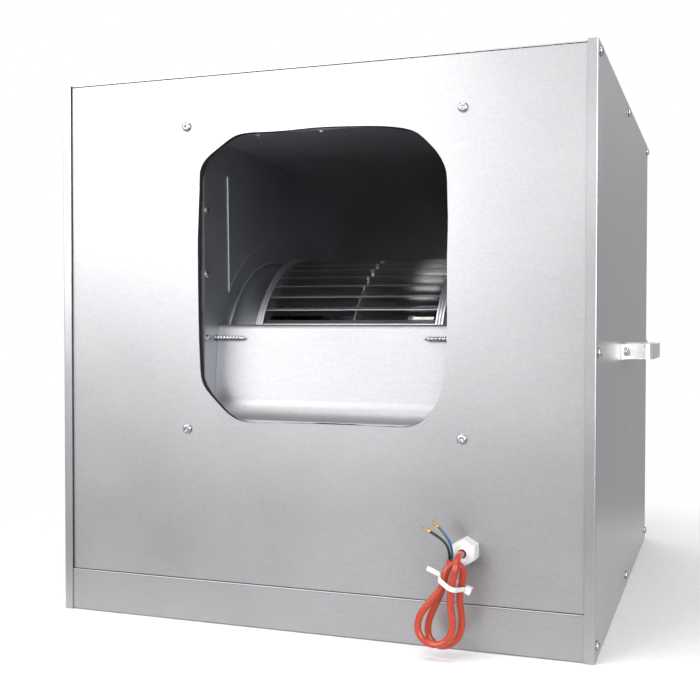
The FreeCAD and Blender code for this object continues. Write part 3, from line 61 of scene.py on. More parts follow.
# Cord, in millimetres: the route of the loops from the gland's mouth to the cut end
CORD_D = 5.8
CORE_D = 2.2
CORD_ROUTE = [
    (145.0, -287.6, 85.0),
    (145.0, -299.0, 86.5), (145.5, -309.8, 80.5), (142.4, -309.6, 66.5), (140.0, -307.5, 49.0),
    (142.2, -306.0, 34.5), (141.0, -305.7, 22.0), (132.6, -305.3, 13.6), (120.6, -304.9, 13.4),
    (112.0, -304.5, 21.4), (112.9, -304.1, 34.8), (122.5, -304.0, 48.0), (133.5, -304.0, 60.5),
    (135.0, -303.4, 73.0), (138.6, -301.6, 79.0), (145.4, -298.2, 79.0), (149.0, -296.6, 73.0),
    (146.8, -296.5, 62.0), (144.6, -295.2, 50.0), (147.2, -294.2, 32.0), (145.2, -293.7, 19.0),
    (136.5, -293.3, 10.3), (125.5, -293.0, 8.6), (117.8, -292.6, 15.5), (117.6, -292.2, 27.0),
    (121.8, -292.0, 38.0), (127.5, -292.0, 50.0), (131.0, -292.3, 60.0), (133.0, -292.8, 70.5),
    (137.5, -293.5, 81.0),
]
BLUE_ROUTE = [(138.6, -294.3, 82.1), (139.2, -296.0, 89.5), (136.2, -298.0, 99.5), (127.4, -299.2, 108.9)]
BLACK_ROUTE = [(136.4, -294.9, 82.1), (137.2, -297.5, 89.0), (132.4, -299.0, 98.3), (120.8, -300.3, 104.5)]
EARTH_ROUTE = [(137.3, -292.1, 82.1), (138.3, -292.6, 89.5), (134.6, -293.5, 98.8), (125.0, -295.8, 108.0)]

# Inner lead, in millimetres: from the gland's thread under the blower to the end of the motor
LEAD_D = 6.3
LEAD_ROUTE = [
    (145.0, -260.6, 85.0), (145.0, -225.0, 84.0), (158.0, -196.0, 72.0), (186.0, -168.0, 74.0),
    (202.5, -136.0, 98.1), (204.5, -108.0, 132.1), (190.5, -97.0, 160.1), (168.5, -97.0, 173.1),
    (132.7, -97.0, 173.1),
]


# Small helpers

def placed(name, data):
    """A new object in the scene."""
    thing = bpy.data.objects.new(name, data)
    bpy.context.scene.collection.objects.link(thing)
    return thing


def full_turn(count):
    """Even angles once round."""
    return [2 * math.pi * i / count for i in range(count)]


# Colours and nodes

def linear(hex_colour):
    """An sRGB hex value as linear RGBA."""
    parts = [int(hex_colour[i:i + 2], 16) / 255 for i in (1, 3, 5)]
    return [c / 12.92 if c <= 0.04045 else ((c + 0.055) / 1.055) ** 2.4 for c in parts] + [1.0]


def per_metre(size_mm):
    """Texture scale for a pattern whose features are this many millimetres apart."""
    return 1000.0 / size_mm


def blank(name):
    """A new material and its shader."""
    material = bpy.data.materials.new(name)
    material.use_nodes = True
    return material, material.node_tree.nodes["Principled BSDF"]


def add(material, kind, inputs=None, stops=None, **settings):
    """Add a node to a material or the world, or take the one given; set it up, fill or link its inputs."""
    tree = material.node_tree
    node = tree.nodes.new(kind) if isinstance(kind, str) else kind
    for name, value in settings.items():
        setattr(node, name, value)
    for name, value in (inputs or {}).items():
        if isinstance(value, bpy.types.NodeSocket):
            tree.links.new(value, node.inputs[name])
        else:
            node.inputs[name].default_value = value
    for i, (position, colour) in enumerate(stops or []):
        elements = node.color_ramp.elements
        element = elements[i] if i < len(elements) else elements.new(position)
        element.position = position
        element.color = linear(colour)
    return node.outputs[0] if node.outputs else node


# Finishes

STREAK_MM = 25.0       # length of a rolling streak
SPECKLE_MM = 2.2
ZINC_MOTTLE_MM = 90.0
STRIPE_MM = 15.708     # one turn of the stripe along a core
WAVE_BANDS = 20 / (2 * math.pi)        # bands that a wave node draws per unit of its scale


def galvanised(name, dark, light, rough, run, grain_mm):
    """Hot-dip galvanised sheet, skin-passed: satin grey with a fine speckle, faint rolling streaks
    along one axis and a slow zinc mottle. Speckle and streaks are coarser than on the sheet, so
    that they show."""
    material, shader = blank(name)
    place = add(material, "ShaderNodeTexCoord").node.outputs["Object"]
    stretch = [per_metre(grain_mm)] * 3
    stretch["XYZ".index(run)] = per_metre(STREAK_MM)
    along = add(material, "ShaderNodeMapping", {"Vector": place, "Scale": stretch})
    streak = add(material, "ShaderNodeTexNoise", {"Vector": along, "Scale": 1.0, "Detail": 3.0})
    speckle = add(material, "ShaderNodeTexNoise", {
        "Vector": place, "Scale": per_metre(SPECKLE_MM), "Detail": 4.0})
    broad = add(material, "ShaderNodeTexNoise", {
        "Vector": place, "Scale": per_metre(ZINC_MOTTLE_MM), "Detail": 2.0})
    fine = add(material, "ShaderNodeMix", {"Factor": 0.65, "A": streak, "B": speckle})
    both = add(material, "ShaderNodeMix", {"Factor": 0.25, "A": fine, "B": broad})
    colour = add(material, "ShaderNodeValToRGB", {"Fac": both}, [(0.35, dark), (0.65, light)])
    gloss = add(material, "ShaderNodeMapRange", {
        "Value": broad, "From Min": 0.3, "From Max": 0.7, "To Min": rough - 0.025, "To Max": rough + 0.025})
    bump = add(material, "ShaderNodeBump", {"Height": fine, "Distance": 0.01 * MM, "Strength": 0.2})
    add(material, shader, {"Base Color": colour, "Roughness": gloss, "Normal": bump, "Metallic": 1.0})
    return material


def plated(name, dark, light, rough, mottle_mm):
    """Metal with a thin plated or as-cast skin: soft mottle and slightly uneven gloss."""
    material, shader = blank(name)
    place = add(material, "ShaderNodeTexCoord").node.outputs["Object"]
    mottle = add(material, "ShaderNodeTexNoise", {
        "Vector": place, "Scale": per_metre(mottle_mm), "Detail": 4.0})
    colour = add(material, "ShaderNodeValToRGB", {"Fac": mottle}, [(0.3, dark), (0.7, light)])
    gloss = add(material, "ShaderNodeMapRange", {
        "Value": mottle, "From Min": 0.3, "From Max": 0.7, "To Min": rough - 0.06, "To Max": rough + 0.08})
    bump = add(material, "ShaderNodeBump", {"Height": mottle, "Distance": 0.015 * MM, "Strength": 0.15})
    add(material, shader, {"Base Color": colour, "Roughness": gloss, "Normal": bump, "Metallic": 1.0})
    return material


def moulded(name, dark, light, rough, speck_mm, depth_mm):
    """Moulded or extruded plastic and rubber: even colour under a faint skin texture."""
    material, shader = blank(name)
    place = add(material, "ShaderNodeTexCoord").node.outputs["Object"]
    skin = add(material, "ShaderNodeTexNoise", {
        "Vector": place, "Scale": per_metre(speck_mm), "Detail": 3.0})
    colour = add(material, "ShaderNodeValToRGB", {"Fac": skin}, [(0.3, dark), (0.7, light)])
    gloss = add(material, "ShaderNodeMapRange", {
        "Value": skin, "From Min": 0.3, "From Max": 0.7, "To Min": rough - 0.04, "To Max": rough + 0.05})
    bump = add(material, "ShaderNodeBump", {"Height": skin, "Distance": depth_mm * MM, "Strength": 0.3})
    add(material, shader, {"Base Color": colour, "Roughness": gloss, "Normal": bump, "IOR": 1.5})
    return material


def acoustic_foam():
    """Black open-cell foam: cells of about 1.5 mm that swallow the light."""
    material, shader = blank("black_acoustic_foam")
    place = add(material, "ShaderNodeTexCoord").node.outputs["Object"]
    cells = add(material, "ShaderNodeTexVoronoi", {"Vector": place, "Scale": per_metre(1.5)})
    colour = add(material, "ShaderNodeValToRGB", {"Fac": cells}, [(0.1, "#08080a"), (0.7, "#1b1b1e")])
    bump = add(material, "ShaderNodeBump", {"Height": cells, "Distance": 0.8 * MM, "Strength": 0.8})
    add(material, shader, {"Base Color": colour, "Normal": bump, "Roughness": 0.95, "IOR": 1.45})
    return material


def striped_insulation():
    """Green PVC core insulation, extruded with a yellow stripe that winds round it about every 16 mm."""
    material, shader = blank("green_yellow_insulation")
    place = add(material, "ShaderNodeTexCoord").node.outputs["Object"]
    lean = add(material, "ShaderNodeMapping", {"Vector": place, "Rotation": (0.0, 0.6, 0.0)})
    bands = add(material, "ShaderNodeTexWave", {
        "Vector": lean, "Scale": per_metre(STRIPE_MM * WAVE_BANDS), "Distortion": 0.5})
    colour = add(material, "ShaderNodeValToRGB", {"Fac": bands}, [(0.45, "#2c6b2e"), (0.55, "#d9c22c")])
    add(material, shader, {"Base Color": colour, "Roughness": 0.4, "IOR": 1.5})
    return material


# Satin sheet of the box: the soft boxes show on it as broad, blurred patches
PANEL_STEEL = galvanised("galvanised_panel_sheet", "#9a999b", "#a3a2a4", 0.40, "X", 1.2)
SIDE_STEEL = galvanised("galvanised_side_sheet", "#a9a6a9", "#b3b0b3", 0.30, "Y", 1.2)
# Duller sheet of the blower: light falls off on it evenly, with no sharp edge
CASING_STEEL = galvanised("galvanised_casing_sheet", "#a2a5ab", "#b0b3b8", 0.48, "Y", 1.5)
SCROLL_STEEL = galvanised("galvanised_scroll_sheet", "#a4a6aa", "#b2b4b8", 0.50, "X", 1.5)
CUTOFF_STEEL = galvanised("galvanised_cutoff_sheet", "#9a9a9c", "#a5a5a7", 0.50, "X", 1.0)
# Pale sheet of the wheel: its edges stay bright inside the dark casing
WHEEL_STEEL = galvanised("galvanised_wheel_sheet", "#c4c6c8", "#d4d5d7", 0.38, "X", 1.0)
# Plated and bare metal: small sharp highlights on zinc, a dark sheen on the motor, warm yellow brass
SCREW_ZINC = plated("zinc_plated_screw_steel", "#a2a2a5", "#b2b2b5", 0.26, 9.0)
ZINC = plated("bright_zinc_plating", "#d6d5d2", "#dfdedb", 0.22, 9.0)
MOTOR_STEEL = plated("rolled_motor_steel", "#3c3f43", "#53575c", 0.42, 1.8)
CAST_ALUMINIUM = plated("die_cast_aluminium", "#85878a", "#a3a5a8", 0.48, 1.8)
BRASS = plated("stamped_brass", "#a8763a", "#d8a868", 0.30, 1.8)
# Foam, rubber and plastics: black that swallows the light, waxy white, glossy red
FOAM = acoustic_foam()
RUBBER = moulded("black_rubber", "#0c0c0d", "#18181a", 0.62, 0.8, 0.03)
NYLON = moulded("white_nylon", "#c4c4c3", "#d2d2d0", 0.42, 1.0, 0.02)
CAN_PLASTIC = moulded("white_polypropylene", "#cfcfcd", "#dededc", 0.40, 1.0, 0.02)
SILICONE = moulded("red_silicone_sheath", "#98301c", "#a23620", 0.18, 2.5, 0.01)
BLUE_PVC = moulded("blue_core_insulation", "#1a4470", "#24527f", 0.34, 0.8, 0.01)
BLACK_PVC = moulded("black_core_insulation", "#0c0c0e", "#19191c", 0.40, 0.8, 0.01)
EARTH_PVC = striped_insulation()


def dress(material, names):
    """Give CAD nodes one finish."""
    for name in names.split():
        data = NODES[name].data
        data.materials.clear()
        data.materials.append(material)


dress(PANEL_STEEL, "base_tray front_panel rear_panel top_panel intake_collar")
dress(SIDE_STEEL, "left_side_panel right_side_panel")
dress(SCROLL_STEEL, "scroll_wrap")
dress(CASING_STEEL, "left_side_plate right_side_plate outlet_flange left_foot right_foot")
dress(CASING_STEEL, "left_inlet_cone right_inlet_cone")
dress(CUTOFF_STEEL, "cutoff_plate")
dress(WHEEL_STEEL, "wheel_left_ring wheel_right_ring wheel_blades wheel_disc")
dress(ZINC, "intake_rivets flange_rivets foot_bolts hub_clamp_screw arm_bolts band_bolts motor_shaft")
dress(ZINC, "motor_bearings motor_band motor_arms capacitor_clip left_handle right_handle")
dress(CAST_ALUMINIUM, "wheel_hub motor_inner_cap motor_outer_cap")
dress(MOTOR_STEEL, "motor_shell")
dress(RUBBER, "rubber_mounts arm_grommets")
dress(NYLON, "gland_body gland_cap gland_locknut")
dress(CAN_PLASTIC, "capacitor")


# Camera

def photograph_camera():
    data = bpy.data.cameras.new("photograph_camera")
    data.lens = LENS
    data.sensor_width = SENSOR
    data.clip_start, data.clip_end = CAMERA_CLIP
    camera = placed("photograph_camera", data)
    yaw, pitch = math.radians(CAMERA_YAW), math.radians(CAMERA_PITCH)
    ahead = Vector((-math.sin(yaw) * math.cos(pitch), math.cos(yaw) * math.cos(pitch), -math.sin(pitch)))
    turn = ahead.to_track_quat("-Z", "Y").to_matrix().to_4x4()
    turn = turn @ Matrix.Rotation(math.radians(CAMERA_ROLL), 4, "Z")
    camera.matrix_world = Matrix.Translation(Vector(CAMERA_PLACE) * MM) @ turn
    bpy.context.scene.camera = camera


photograph_camera()


# Cords

def cord_curve(name, route, diameter, material):
    """A round cord on a smooth line with the route's points as its control points."""
    curve = bpy.data.curves.new(name, "CURVE")
    curve.dimensions = "3D"
    curve.bevel_depth = diameter / 2 * MM
    curve.bevel_resolution = 6
    curve.use_fill_caps = True
    spline = curve.splines.new("NURBS")
    spline.points.add(len(route) - 1)
    for point, place in zip(spline.points, route):
        point.co = (*(Vector(place) * MM), 1.0)
    spline.order_u = 3
    spline.use_endpoint_u = True
    spline.resolution_u = 10
    curve.materials.append(material)
    return placed(name, curve)


def line_points(piece):
    """Points along a cord's own line, for its length and for the pieces on it."""
    bare = piece.data.copy()
    bare.bevel_depth = 0.0
    bare.use_fill_caps = False
    holder = placed("bare_line", bare)
    bpy.context.view_layer.update()
    mesh = bpy.data.meshes.new_from_object(holder.evaluated_get(bpy.context.evaluated_depsgraph_get()))
    points = [v.co.copy() for v in mesh.vertices]
    bpy.data.objects.remove(holder)
    bpy.data.curves.remove(bare)
    bpy.data.meshes.remove(mesh)
    return points


# Meshes

def piece_from(name, verts, faces, material, smooth=True):
    """A mesh piece in metres that rides on the housing."""
    mesh = bpy.data.meshes.new(name)
    mesh.from_pydata(verts, [], faces)
    build = bmesh.new()
    build.from_mesh(mesh)
    bmesh.ops.recalc_face_normals(build, faces=build.faces)
    build.to_mesh(mesh)
    build.free()
    for polygon in mesh.polygons:
        polygon.use_smooth = smooth
    mesh.materials.append(material)
    piece = placed(name, mesh)
    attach(piece, HOUSING)
    return piece


def lofted(rings, closed_ends=True):
    """Vertices and faces over rings of equal length, each ring closed."""
    count = len(rings[0])
    verts = [v for ring in rings for v in ring]
    faces = []
    for r in range(len(rings) - 1):
        for i in range(count):
            j = (i + 1) % count
            faces.append((r * count + i, r * count + j, (r + 1) * count + j, (r + 1) * count + i))
    if closed_ends:
        faces.append(tuple(range(count)))
        faces.append(tuple(range((len(rings) - 1) * count, len(rings) * count)))
    return verts, faces


def merged(shapes):
    """Several (verts, faces) as one."""
    verts, faces = [], []
    for some_verts, some_faces in shapes:
        start = len(verts)
        verts += some_verts
        faces += [tuple(start + i for i in face) for face in some_faces]
    return verts, faces


def islands(node):
    """Boxes (lowest, highest) of the separate solids in a CAD node, in metres."""
    build = bmesh.new()
    build.from_mesh(NODES[node].data)
    bmesh.ops.remove_doubles(build, verts=build.verts, dist=WELD)
    build.verts.ensure_lookup_table()
    seen, boxes = set(), []
    for vert in build.verts:
        if vert.index in seen:
            continue
        group, waiting = [], [vert]
        seen.add(vert.index)
        while waiting:
            here = waiting.pop()
            group.append(here.co)
            for edge in here.link_edges:
                other = edge.other_vert(here)
                if other.index not in seen:
                    seen.add(other.index)
                    waiting.append(other)
        low = Vector([min(p[k] for p in group) for k in range(3)])
        high = Vector([max(p[k] for p in group) for k in range(3)])
        boxes.append((low, high))
    build.free()
    return boxes


# Supply cord, its cores and their crimped ends

# Crimped end, in millimetres: place along the core from its tip, half width and half height
CRIMP_AROUND = 20
CRIMP_PROFILE = [
    (-1.2, 1.30, 1.30), (-1.0, 1.50, 1.50), (0.8, 1.50, 1.45), (1.1, 1.05, 0.95), (1.5, 1.05, 0.95),
    (1.8, 1.40, 1.20), (3.4, 1.40, 1.15), (3.7, 1.20, 0.60), (5.0, 1.45, 0.35), (6.4, 1.45, 0.35),
    (6.6, 1.20, 0.25),
]


def crimped_end(points, number):
    """Terminal on a core: a barrel rolled on the insulation, one on the wire, and a flat tongue."""
    tip = points[-1]
    ahead = (tip - points[-4]).normalized()
    side = ahead.cross(Z_AXIS).normalized()
    up = side.cross(ahead)

    def ring(at, wide, tall):
        centre = tip + ahead * at * MM
        return [centre + (side * math.cos(a) * wide + up * math.sin(a) * tall) * MM
                for a in full_turn(CRIMP_AROUND)]

    verts, faces = lofted([ring(*row) for row in CRIMP_PROFILE])
    return piece_from("crimped_end_%d" % number, verts, faces, BRASS)


def supply_cord():
    """The tied hank, from the gland to the cut end."""
    cord = cord_curve("supply_cord_hank", CORD_ROUTE, CORD_D, SILICONE)
    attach(cord, HOUSING)
    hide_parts("supply_cord")
    points = line_points(cord)
    cable_tie()


def core(name, route, material, crimp):
    """An insulated core out of the cut end; crimp is the number of its crimped end, or 0 for none."""
    wire = cord_curve(name + "_wire", route, CORE_D, material)
    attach(wire, HOUSING)
    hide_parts(name)
    points = line_points(wire)
    ends = []
    if crimp:
        ends = [crimped_end(points, crimp)]
        if crimp == 1:
            # the first end stands for the node of both
            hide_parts("core_ferrules")


def motor_lead():
    """Sleeved lead inside the box, held by the gland and by the motor."""
    lead = cord_curve("motor_lead_sleeve", LEAD_ROUTE, LEAD_D, RUBBER)
    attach(lead, HOUSING)
    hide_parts("motor_lead")
    points = line_points(lead)


TIE_EDGE = 0.22        # millimetres, rounding of the strap's edges
TIE_FLAT = 0.02        # radians; faces that meet flatter than this are joined
TIE_SHARP = 0.6        # radians; edges sharper than this are rounded


def cable_tie():
    """White tie: a strap drawn round the strands, its lock and its tail, with rounded edges."""
    build = bmesh.new()
    build.from_mesh(NODES["cable_tie"].data)
    bmesh.ops.remove_doubles(build, verts=build.verts, dist=WELD)
    bmesh.ops.dissolve_limit(build, angle_limit=TIE_FLAT, verts=build.verts, edges=build.edges)
    sharp = [e for e in build.edges if len(e.link_faces) == 2 and e.calc_face_angle(0) > TIE_SHARP]
    bmesh.ops.bevel(build, geom=sharp, offset=TIE_EDGE * MM, segments=2, affect="EDGES", profile=0.5,
                    clamp_overlap=True)
    mesh = bpy.data.meshes.new("cable_tie_strap")
    build.to_mesh(mesh)
    build.free()
    mesh.materials.append(NYLON)
    strap = placed("cable_tie_strap", mesh)
    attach(strap, HOUSING)
    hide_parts("cable_tie")
    return strap


supply_cord()
core("blue_core", BLUE_ROUTE, BLUE_PVC, 1)
core("black_core", BLACK_ROUTE, BLACK_PVC, 2)
core("earth_core", EARTH_ROUTE, EARTH_PVC, 0)
motor_lead()


# Foam lining

# In millimetres
EDGE_ROUND = 2.4
FOAM_CORNER = 1.0
FOAM_PLAY = 0.3        # room before and behind a sheet
FOAM_SWELL = 0.25      # slow waves of its faces
PLAIN_MIDDLE = 20.0    # half of the flat square in the middle of a sheet with no hole
RIM_INSET = 0.9        # from the edge of its space to a sheet's outer edge
HOLE_INSET = 0.3
INTAKE_R = 157.5
INTAKE_CORNER = 157.4  # just under the radius
INTAKE_Z = 250.0

# Shares of the wander on a sheet's outer edge and round its hole
RIM_WAVE = 0.3
HOLE_WAVE = 1.1

# Steps of a rounded edge, rows across a sheet, points in each loop round it
EDGE_STEPS = 4
FOAM_ROWS = 7
FOAM_AROUND = 240

# The opening that was cut by hand, in millimetres: its middle and half sizes, and its edge as
# shares of these
OUTLET_MIDDLE = (10.75, 315.05)
OUTLET_HALF = (116.25, 129.0)
OUTLET_CUT = [
    (-0.999, 0.712), (-0.944, 0.833), (-0.880, 0.880), (-0.791, 0.933), (-0.693, 0.983), (-0.631, 0.996),
    (-0.492, 0.999), (-0.319, 0.996), (-0.098, 1.002), (0.037, 1.004), (0.234, 0.998), (0.429, 0.989),
    (0.589, 0.974), (0.683, 0.957), (0.762, 0.929), (0.840, 0.871), (0.910, 0.803), (0.956, 0.740),
    (0.985, 0.675), (0.995, 0.600), (0.998, 0.480), (1.002, 0.370), (0.999, 0.237), (0.996, 0.100),
    (0.996, -0.100), (0.997, -0.314), (0.994, -0.500), (0.985, -0.610), (0.968, -0.710), (0.936, -0.813),
    (0.882, -0.896), (0.812, -0.963), (0.733, -0.998), (0.622, -1.009), (0.462, -1.007), (0.300, -1.005),
    (0.135, -1.005), (-0.032, -1.005), (-0.202, -1.006), (-0.374, -1.010), (-0.514, -1.014),
    (-0.602, -1.010), (-0.690, -0.990), (-0.762, -0.951), (-0.851, -0.878), (-0.923, -0.812),
    (-0.968, -0.758), (-0.992, -0.693), (-1.001, -0.575), (-1.008, -0.440), (-1.011, -0.300),
    (-1.013, -0.150), (-1.015, 0.000), (-1.016, 0.150), (-1.016, 0.289), (-1.010, 0.420), (-1.004, 0.566),
]


def wander(turn, seed):
    """A hand-cut edge: slow waves along the cut, in millimetres."""
    waves = [(3, 0.35), (7, 0.30), (13, 0.22), (29, 0.15), (53, 0.10)]
    return sum(size * math.sin(n * turn + seed * (k + 1.7)) for k, (n, size) in enumerate(waves))


def even_turns():
    """Angles of a loop's points, none of them straight along an axis."""
    return [2 * math.pi * (i + 0.5) / FOAM_AROUND for i in range(FOAM_AROUND)]


def hand_cut_loop():
    """Points on the edge of the hand-cut opening, evenly spaced by angle from its middle."""
    edge = [Vector((u * OUTLET_HALF[0], v * OUTLET_HALF[1])) for u, v in OUTLET_CUT]
    points = []
    for turn in even_turns():
        ray = Vector((math.cos(turn), math.sin(turn)))
        for a, b in zip(edge, edge[1:] + edge[:1]):
            left, right = ray.cross(a), ray.cross(b)
            if left * right <= 0 and left != right and ray.dot(a) > 0:
                spot = a.lerp(b, left / (left - right)) + Vector(OUTLET_MIDDLE)
                points.append((spot.x, spot.y))
                break
    return points


def rounded_loop(u0, u1, v0, v1, corner):
    """Points round a rectangle with rounded corners, evenly spaced by angle from its middle."""
    mid_u, mid_v = (u0 + u1) / 2, (v0 + v1) / 2
    half_u, half_v = (u1 - u0) / 2, (v1 - v0) / 2
    points = []
    for turn in even_turns():
        du, dv = math.cos(turn), math.sin(turn)
        reach = min(half_u / max(abs(du), 1e-9), half_v / max(abs(dv), 1e-9))
        u, v = abs(du) * reach, abs(dv) * reach
        cu, cv = half_u - corner, half_v - corner
        if u > cu and v > cv:
            # where the ray meets the corner's arc
            along = abs(du) * cu + abs(dv) * cv
            reach = along + math.sqrt(max(along ** 2 - cu ** 2 - cv ** 2 + corner ** 2, 0.0))
            u, v = abs(du) * reach, abs(dv) * reach
        points.append((mid_u + math.copysign(u, du), mid_v + math.copysign(v, dv)))
    return points


def foam_sheet(node, normal, seed, hole=None):
    """A foam sheet in the space of its CAD node, with soft hand-cut edges and an optional hole."""
    low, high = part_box(node)
    axes = [k for k in range(3) if k != normal]
    size = [(low[k] / MM, high[k] / MM) for k in axes]
    depth = (low[normal] / MM, high[normal] / MM)
    count = FOAM_AROUND
    outer = rounded_loop(*size[0], *size[1], FOAM_CORNER)
    square = [((a + b) / 2 - PLAIN_MIDDLE, (a + b) / 2 + PLAIN_MIDDLE) for a, b in size]
    inner = hole or rounded_loop(*square[0], *square[1], FOAM_CORNER)
    quarter = [math.pi / 2 * k / EDGE_STEPS for k in range(EDGE_STEPS + 1)]
    rounding = [(EDGE_ROUND * (1 - math.sin(a)), EDGE_ROUND * (1 - math.cos(a))) for a in quarter]
    rows = []

    def across(share, inset, deep):
        """One loop between the outer edge (0) and the inner edge (1), moved in from the edge by inset."""
        loop = []
        for i in range(count):
            a, b = Vector(outer[i]), Vector(inner[i])
            along = (b - a).normalized()
            turn = 2 * math.pi * i / count
            cut = wander(turn, seed)
            swell = 0.0
            if share == 0:
                spot = a + along * (RIM_INSET + RIM_WAVE * cut) + along * inset
            elif share == 1:
                edge = b - along * (HOLE_INSET + HOLE_WAVE * cut) if hole else b
                spot = edge - along * inset
            else:
                spot = a.lerp(b, share)
                swell = FOAM_SWELL * math.sin(11 * turn + 5 * share + seed)
            place = [0.0, 0.0, 0.0]
            place[axes[0]], place[axes[1]] = spot.x, spot.y
            place[normal] = deep + swell
            loop.append(Vector(place) * MM)
        return loop

    def edge_rows(share, first, last):
        """The rounded edge from one face over to the other."""
        step = 1 if last > first else -1
        for inset, rise in rounding:
            rows.append(across(share, inset, first + step * rise))
        for inset, rise in reversed(rounding):
            rows.append(across(share, inset, last - step * rise))

    thin = (depth[0] + FOAM_PLAY, depth[1] - FOAM_PLAY)
    edge_rows(0, thin[0], thin[1])
    for k in range(1, FOAM_ROWS):
        rows.append(across(k / FOAM_ROWS, 0, thin[1]))
    if hole:
        edge_rows(1, thin[1], thin[0])
    else:
        rows.append(across(1, 0, thin[1]))
        rows.append(across(1, 0, thin[0]))
    for k in range(FOAM_ROWS - 1, 0, -1):
        rows.append(across(k / FOAM_ROWS, 0, thin[0]))
    rows.append(rows[0])
    verts, faces = lofted(rows, closed_ends=False)
    if not hole:
        # one flat face closes the middle on each side, in place of a wall between them
        top = 2 * len(rounding) + FOAM_ROWS - 1
        faces = [f for f in faces if not (top * count <= f[0] < (top + 1) * count)]
        faces.append(tuple(range(top * count, (top + 1) * count)))
        faces.append(tuple(range((top + 1) * count, (top + 2) * count)))
    sheet = piece_from(node + "_foam", verts, faces, FOAM)
    build = bmesh.new()
    build.from_mesh(sheet.data)
    bmesh.ops.remove_doubles(build, verts=build.verts, dist=WELD)
    bmesh.ops.recalc_face_normals(build, faces=build.faces)
    build.to_mesh(sheet.data)
    build.free()
    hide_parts(node)


# Each sheet's node, the axis across it (x is 0), the seed of its wander, and its hole
foam_sheet("front_lining", 1, 1.3, hand_cut_loop())
foam_sheet("rear_lining", 1, 2.1, rounded_loop(
    -INTAKE_R, INTAKE_R, INTAKE_Z - INTAKE_R, INTAKE_Z + INTAKE_R, INTAKE_CORNER))
foam_sheet("left_lining", 0, 0.4)
foam_sheet("right_lining", 0, 3.2)
foam_sheet("top_lining", 2, 4.5)
foam_sheet("base_lining", 2, 5.1)


# Screws, in millimetres: radius of the shank, radius and height of the head, pitch of the thread

SHEET_SCREW = (2.0, 4.3, 2.6, 1.4)
CUTOFF_SCREW = (2.5, 4.3, 2.6, 3.2)
HEAD_AROUND = 48
SHANK_AROUND = 24
ROWS_PER_TURN = 10
THREAD_DEPTH = 0.34    # share of the shank's radius
SHOULDER = (0.35, 0.65, 0.9, 1.1)      # angles over the edge of the head
# Rings over the crown of the head, as shares of its radius
CROWN_RINGS = (0.5964, 0.568, 0.5112, 0.426, 0.3408, 0.2556, 0.1846, 0.1278, 0.0568)


def screw_shape(seat, way, shank_r, length, head_r, head_h, pitch, spin):
    """A pan-head screw with a cross recess and a thread, head outside the seat, shank along the way."""
    out = -way
    side = (Z_AXIS if abs(way.z) < 0.5 else X_AXIS).cross(way).normalized()
    up = way.cross(side)

    def spot(radius, turn, height):
        flat = side * math.cos(turn + spin) + up * math.sin(turn + spin)
        return seat + (flat * radius + out * height) * MM

    turns = full_turn(HEAD_AROUND)
    rim = head_h * 0.42
    outline = [(shank_r, 0.0), (head_r * 0.97, 0.0), (head_r, 0.1), (head_r, rim)]
    outline += [(head_r * math.cos(a), rim + (head_h - rim) * math.sin(a)) for a in SHOULDER]
    reach, half_slot, sink = head_r * 0.58, head_r * 0.13, head_h * 0.55

    def height_at(radius, turn):
        """Crown of the head, sunk where the cross recess is."""
        crown = head_h - 0.10 * head_h * (radius / head_r) ** 2
        x, y = abs(radius * math.cos(turn)), abs(radius * math.sin(turn))
        in_cross = min(x, y) < half_slot and max(x, y) < reach
        return crown - sink * (1 - 0.5 * max(x, y) / reach) if in_cross else crown

    rings = [[spot(r, a, h) for a in turns] for r, h in outline]
    for share in CROWN_RINGS:
        radius = head_r * share
        rings.append([spot(radius, a, height_at(radius, a)) for a in turns])
    head = lofted(rings)
    steps = int(length / pitch * ROWS_PER_TURN)
    rows = []
    for k in range(steps + 1):
        deep = length * k / steps
        taper = min(1.0, 0.25 + (length - deep) / (2.2 * shank_r))
        row = []
        for i, turn in enumerate(full_turn(SHANK_AROUND)):
            phase = (deep / pitch + i / SHANK_AROUND) % 1.0
            ridge = 1.0 - THREAD_DEPTH * abs(2 * phase - 1) ** 0.6
            row.append(spot(shank_r * ridge * taper, turn, -deep))
        rows.append(row)
    return merged([head, lofted(rows)])


def screw_set(node, ways, shank_r, head_r, head_h, pitch):
    """Detailed screws at the places of a CAD node's plain ones."""
    shapes = []
    for k, (low, high) in enumerate(islands(node)):
        middle = (low + high) / 2
        way = ways(middle)
        axis = max(range(3), key=lambda n: abs(way[n]))
        top = low[axis] if way[axis] > 0 else high[axis]
        seat = middle.copy()
        seat[axis] = top + way[axis] * head_h * MM
        length = (high[axis] - low[axis]) / MM - head_h
        shapes.append(screw_shape(seat, way, shank_r, length, head_r, head_h, pitch, 0.3 + 1.1 * k))
    verts, faces = merged(shapes)
    piece = piece_from(node + "_cross_recess", verts, faces, SCREW_ZINC, smooth=False)
    piece.data.shade_smooth()
    piece.modifiers.new("crisp_edges", "EDGE_SPLIT").split_angle = math.radians(40)
    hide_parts(node)


def from_the_side(middle):
    """A screw on either side points to the middle of the blower."""
    return X_AXIS * (-1 if middle.x > OUTLET_MIDDLE[0] * MM else 1)


screw_set("side_panel_screws", from_the_side, *SHEET_SCREW)
screw_set("handle_screws", from_the_side, *SHEET_SCREW)
screw_set("cutoff_screws", from_the_side, *CUTOFF_SCREW)
screw_set("outlet_screws", lambda middle: Y_AXIS, *SHEET_SCREW)


# Rubber seal in the gland's mouth, in millimetres: radius and depth round its section

GLAND_SEAL = [(3.0, 0.6), (3.1, 0.3), (3.3, 0.2), (3.6, 0.4), (3.6, 4.0), (3.0, 4.0)]
GLAND_SEAL_AROUND = 40


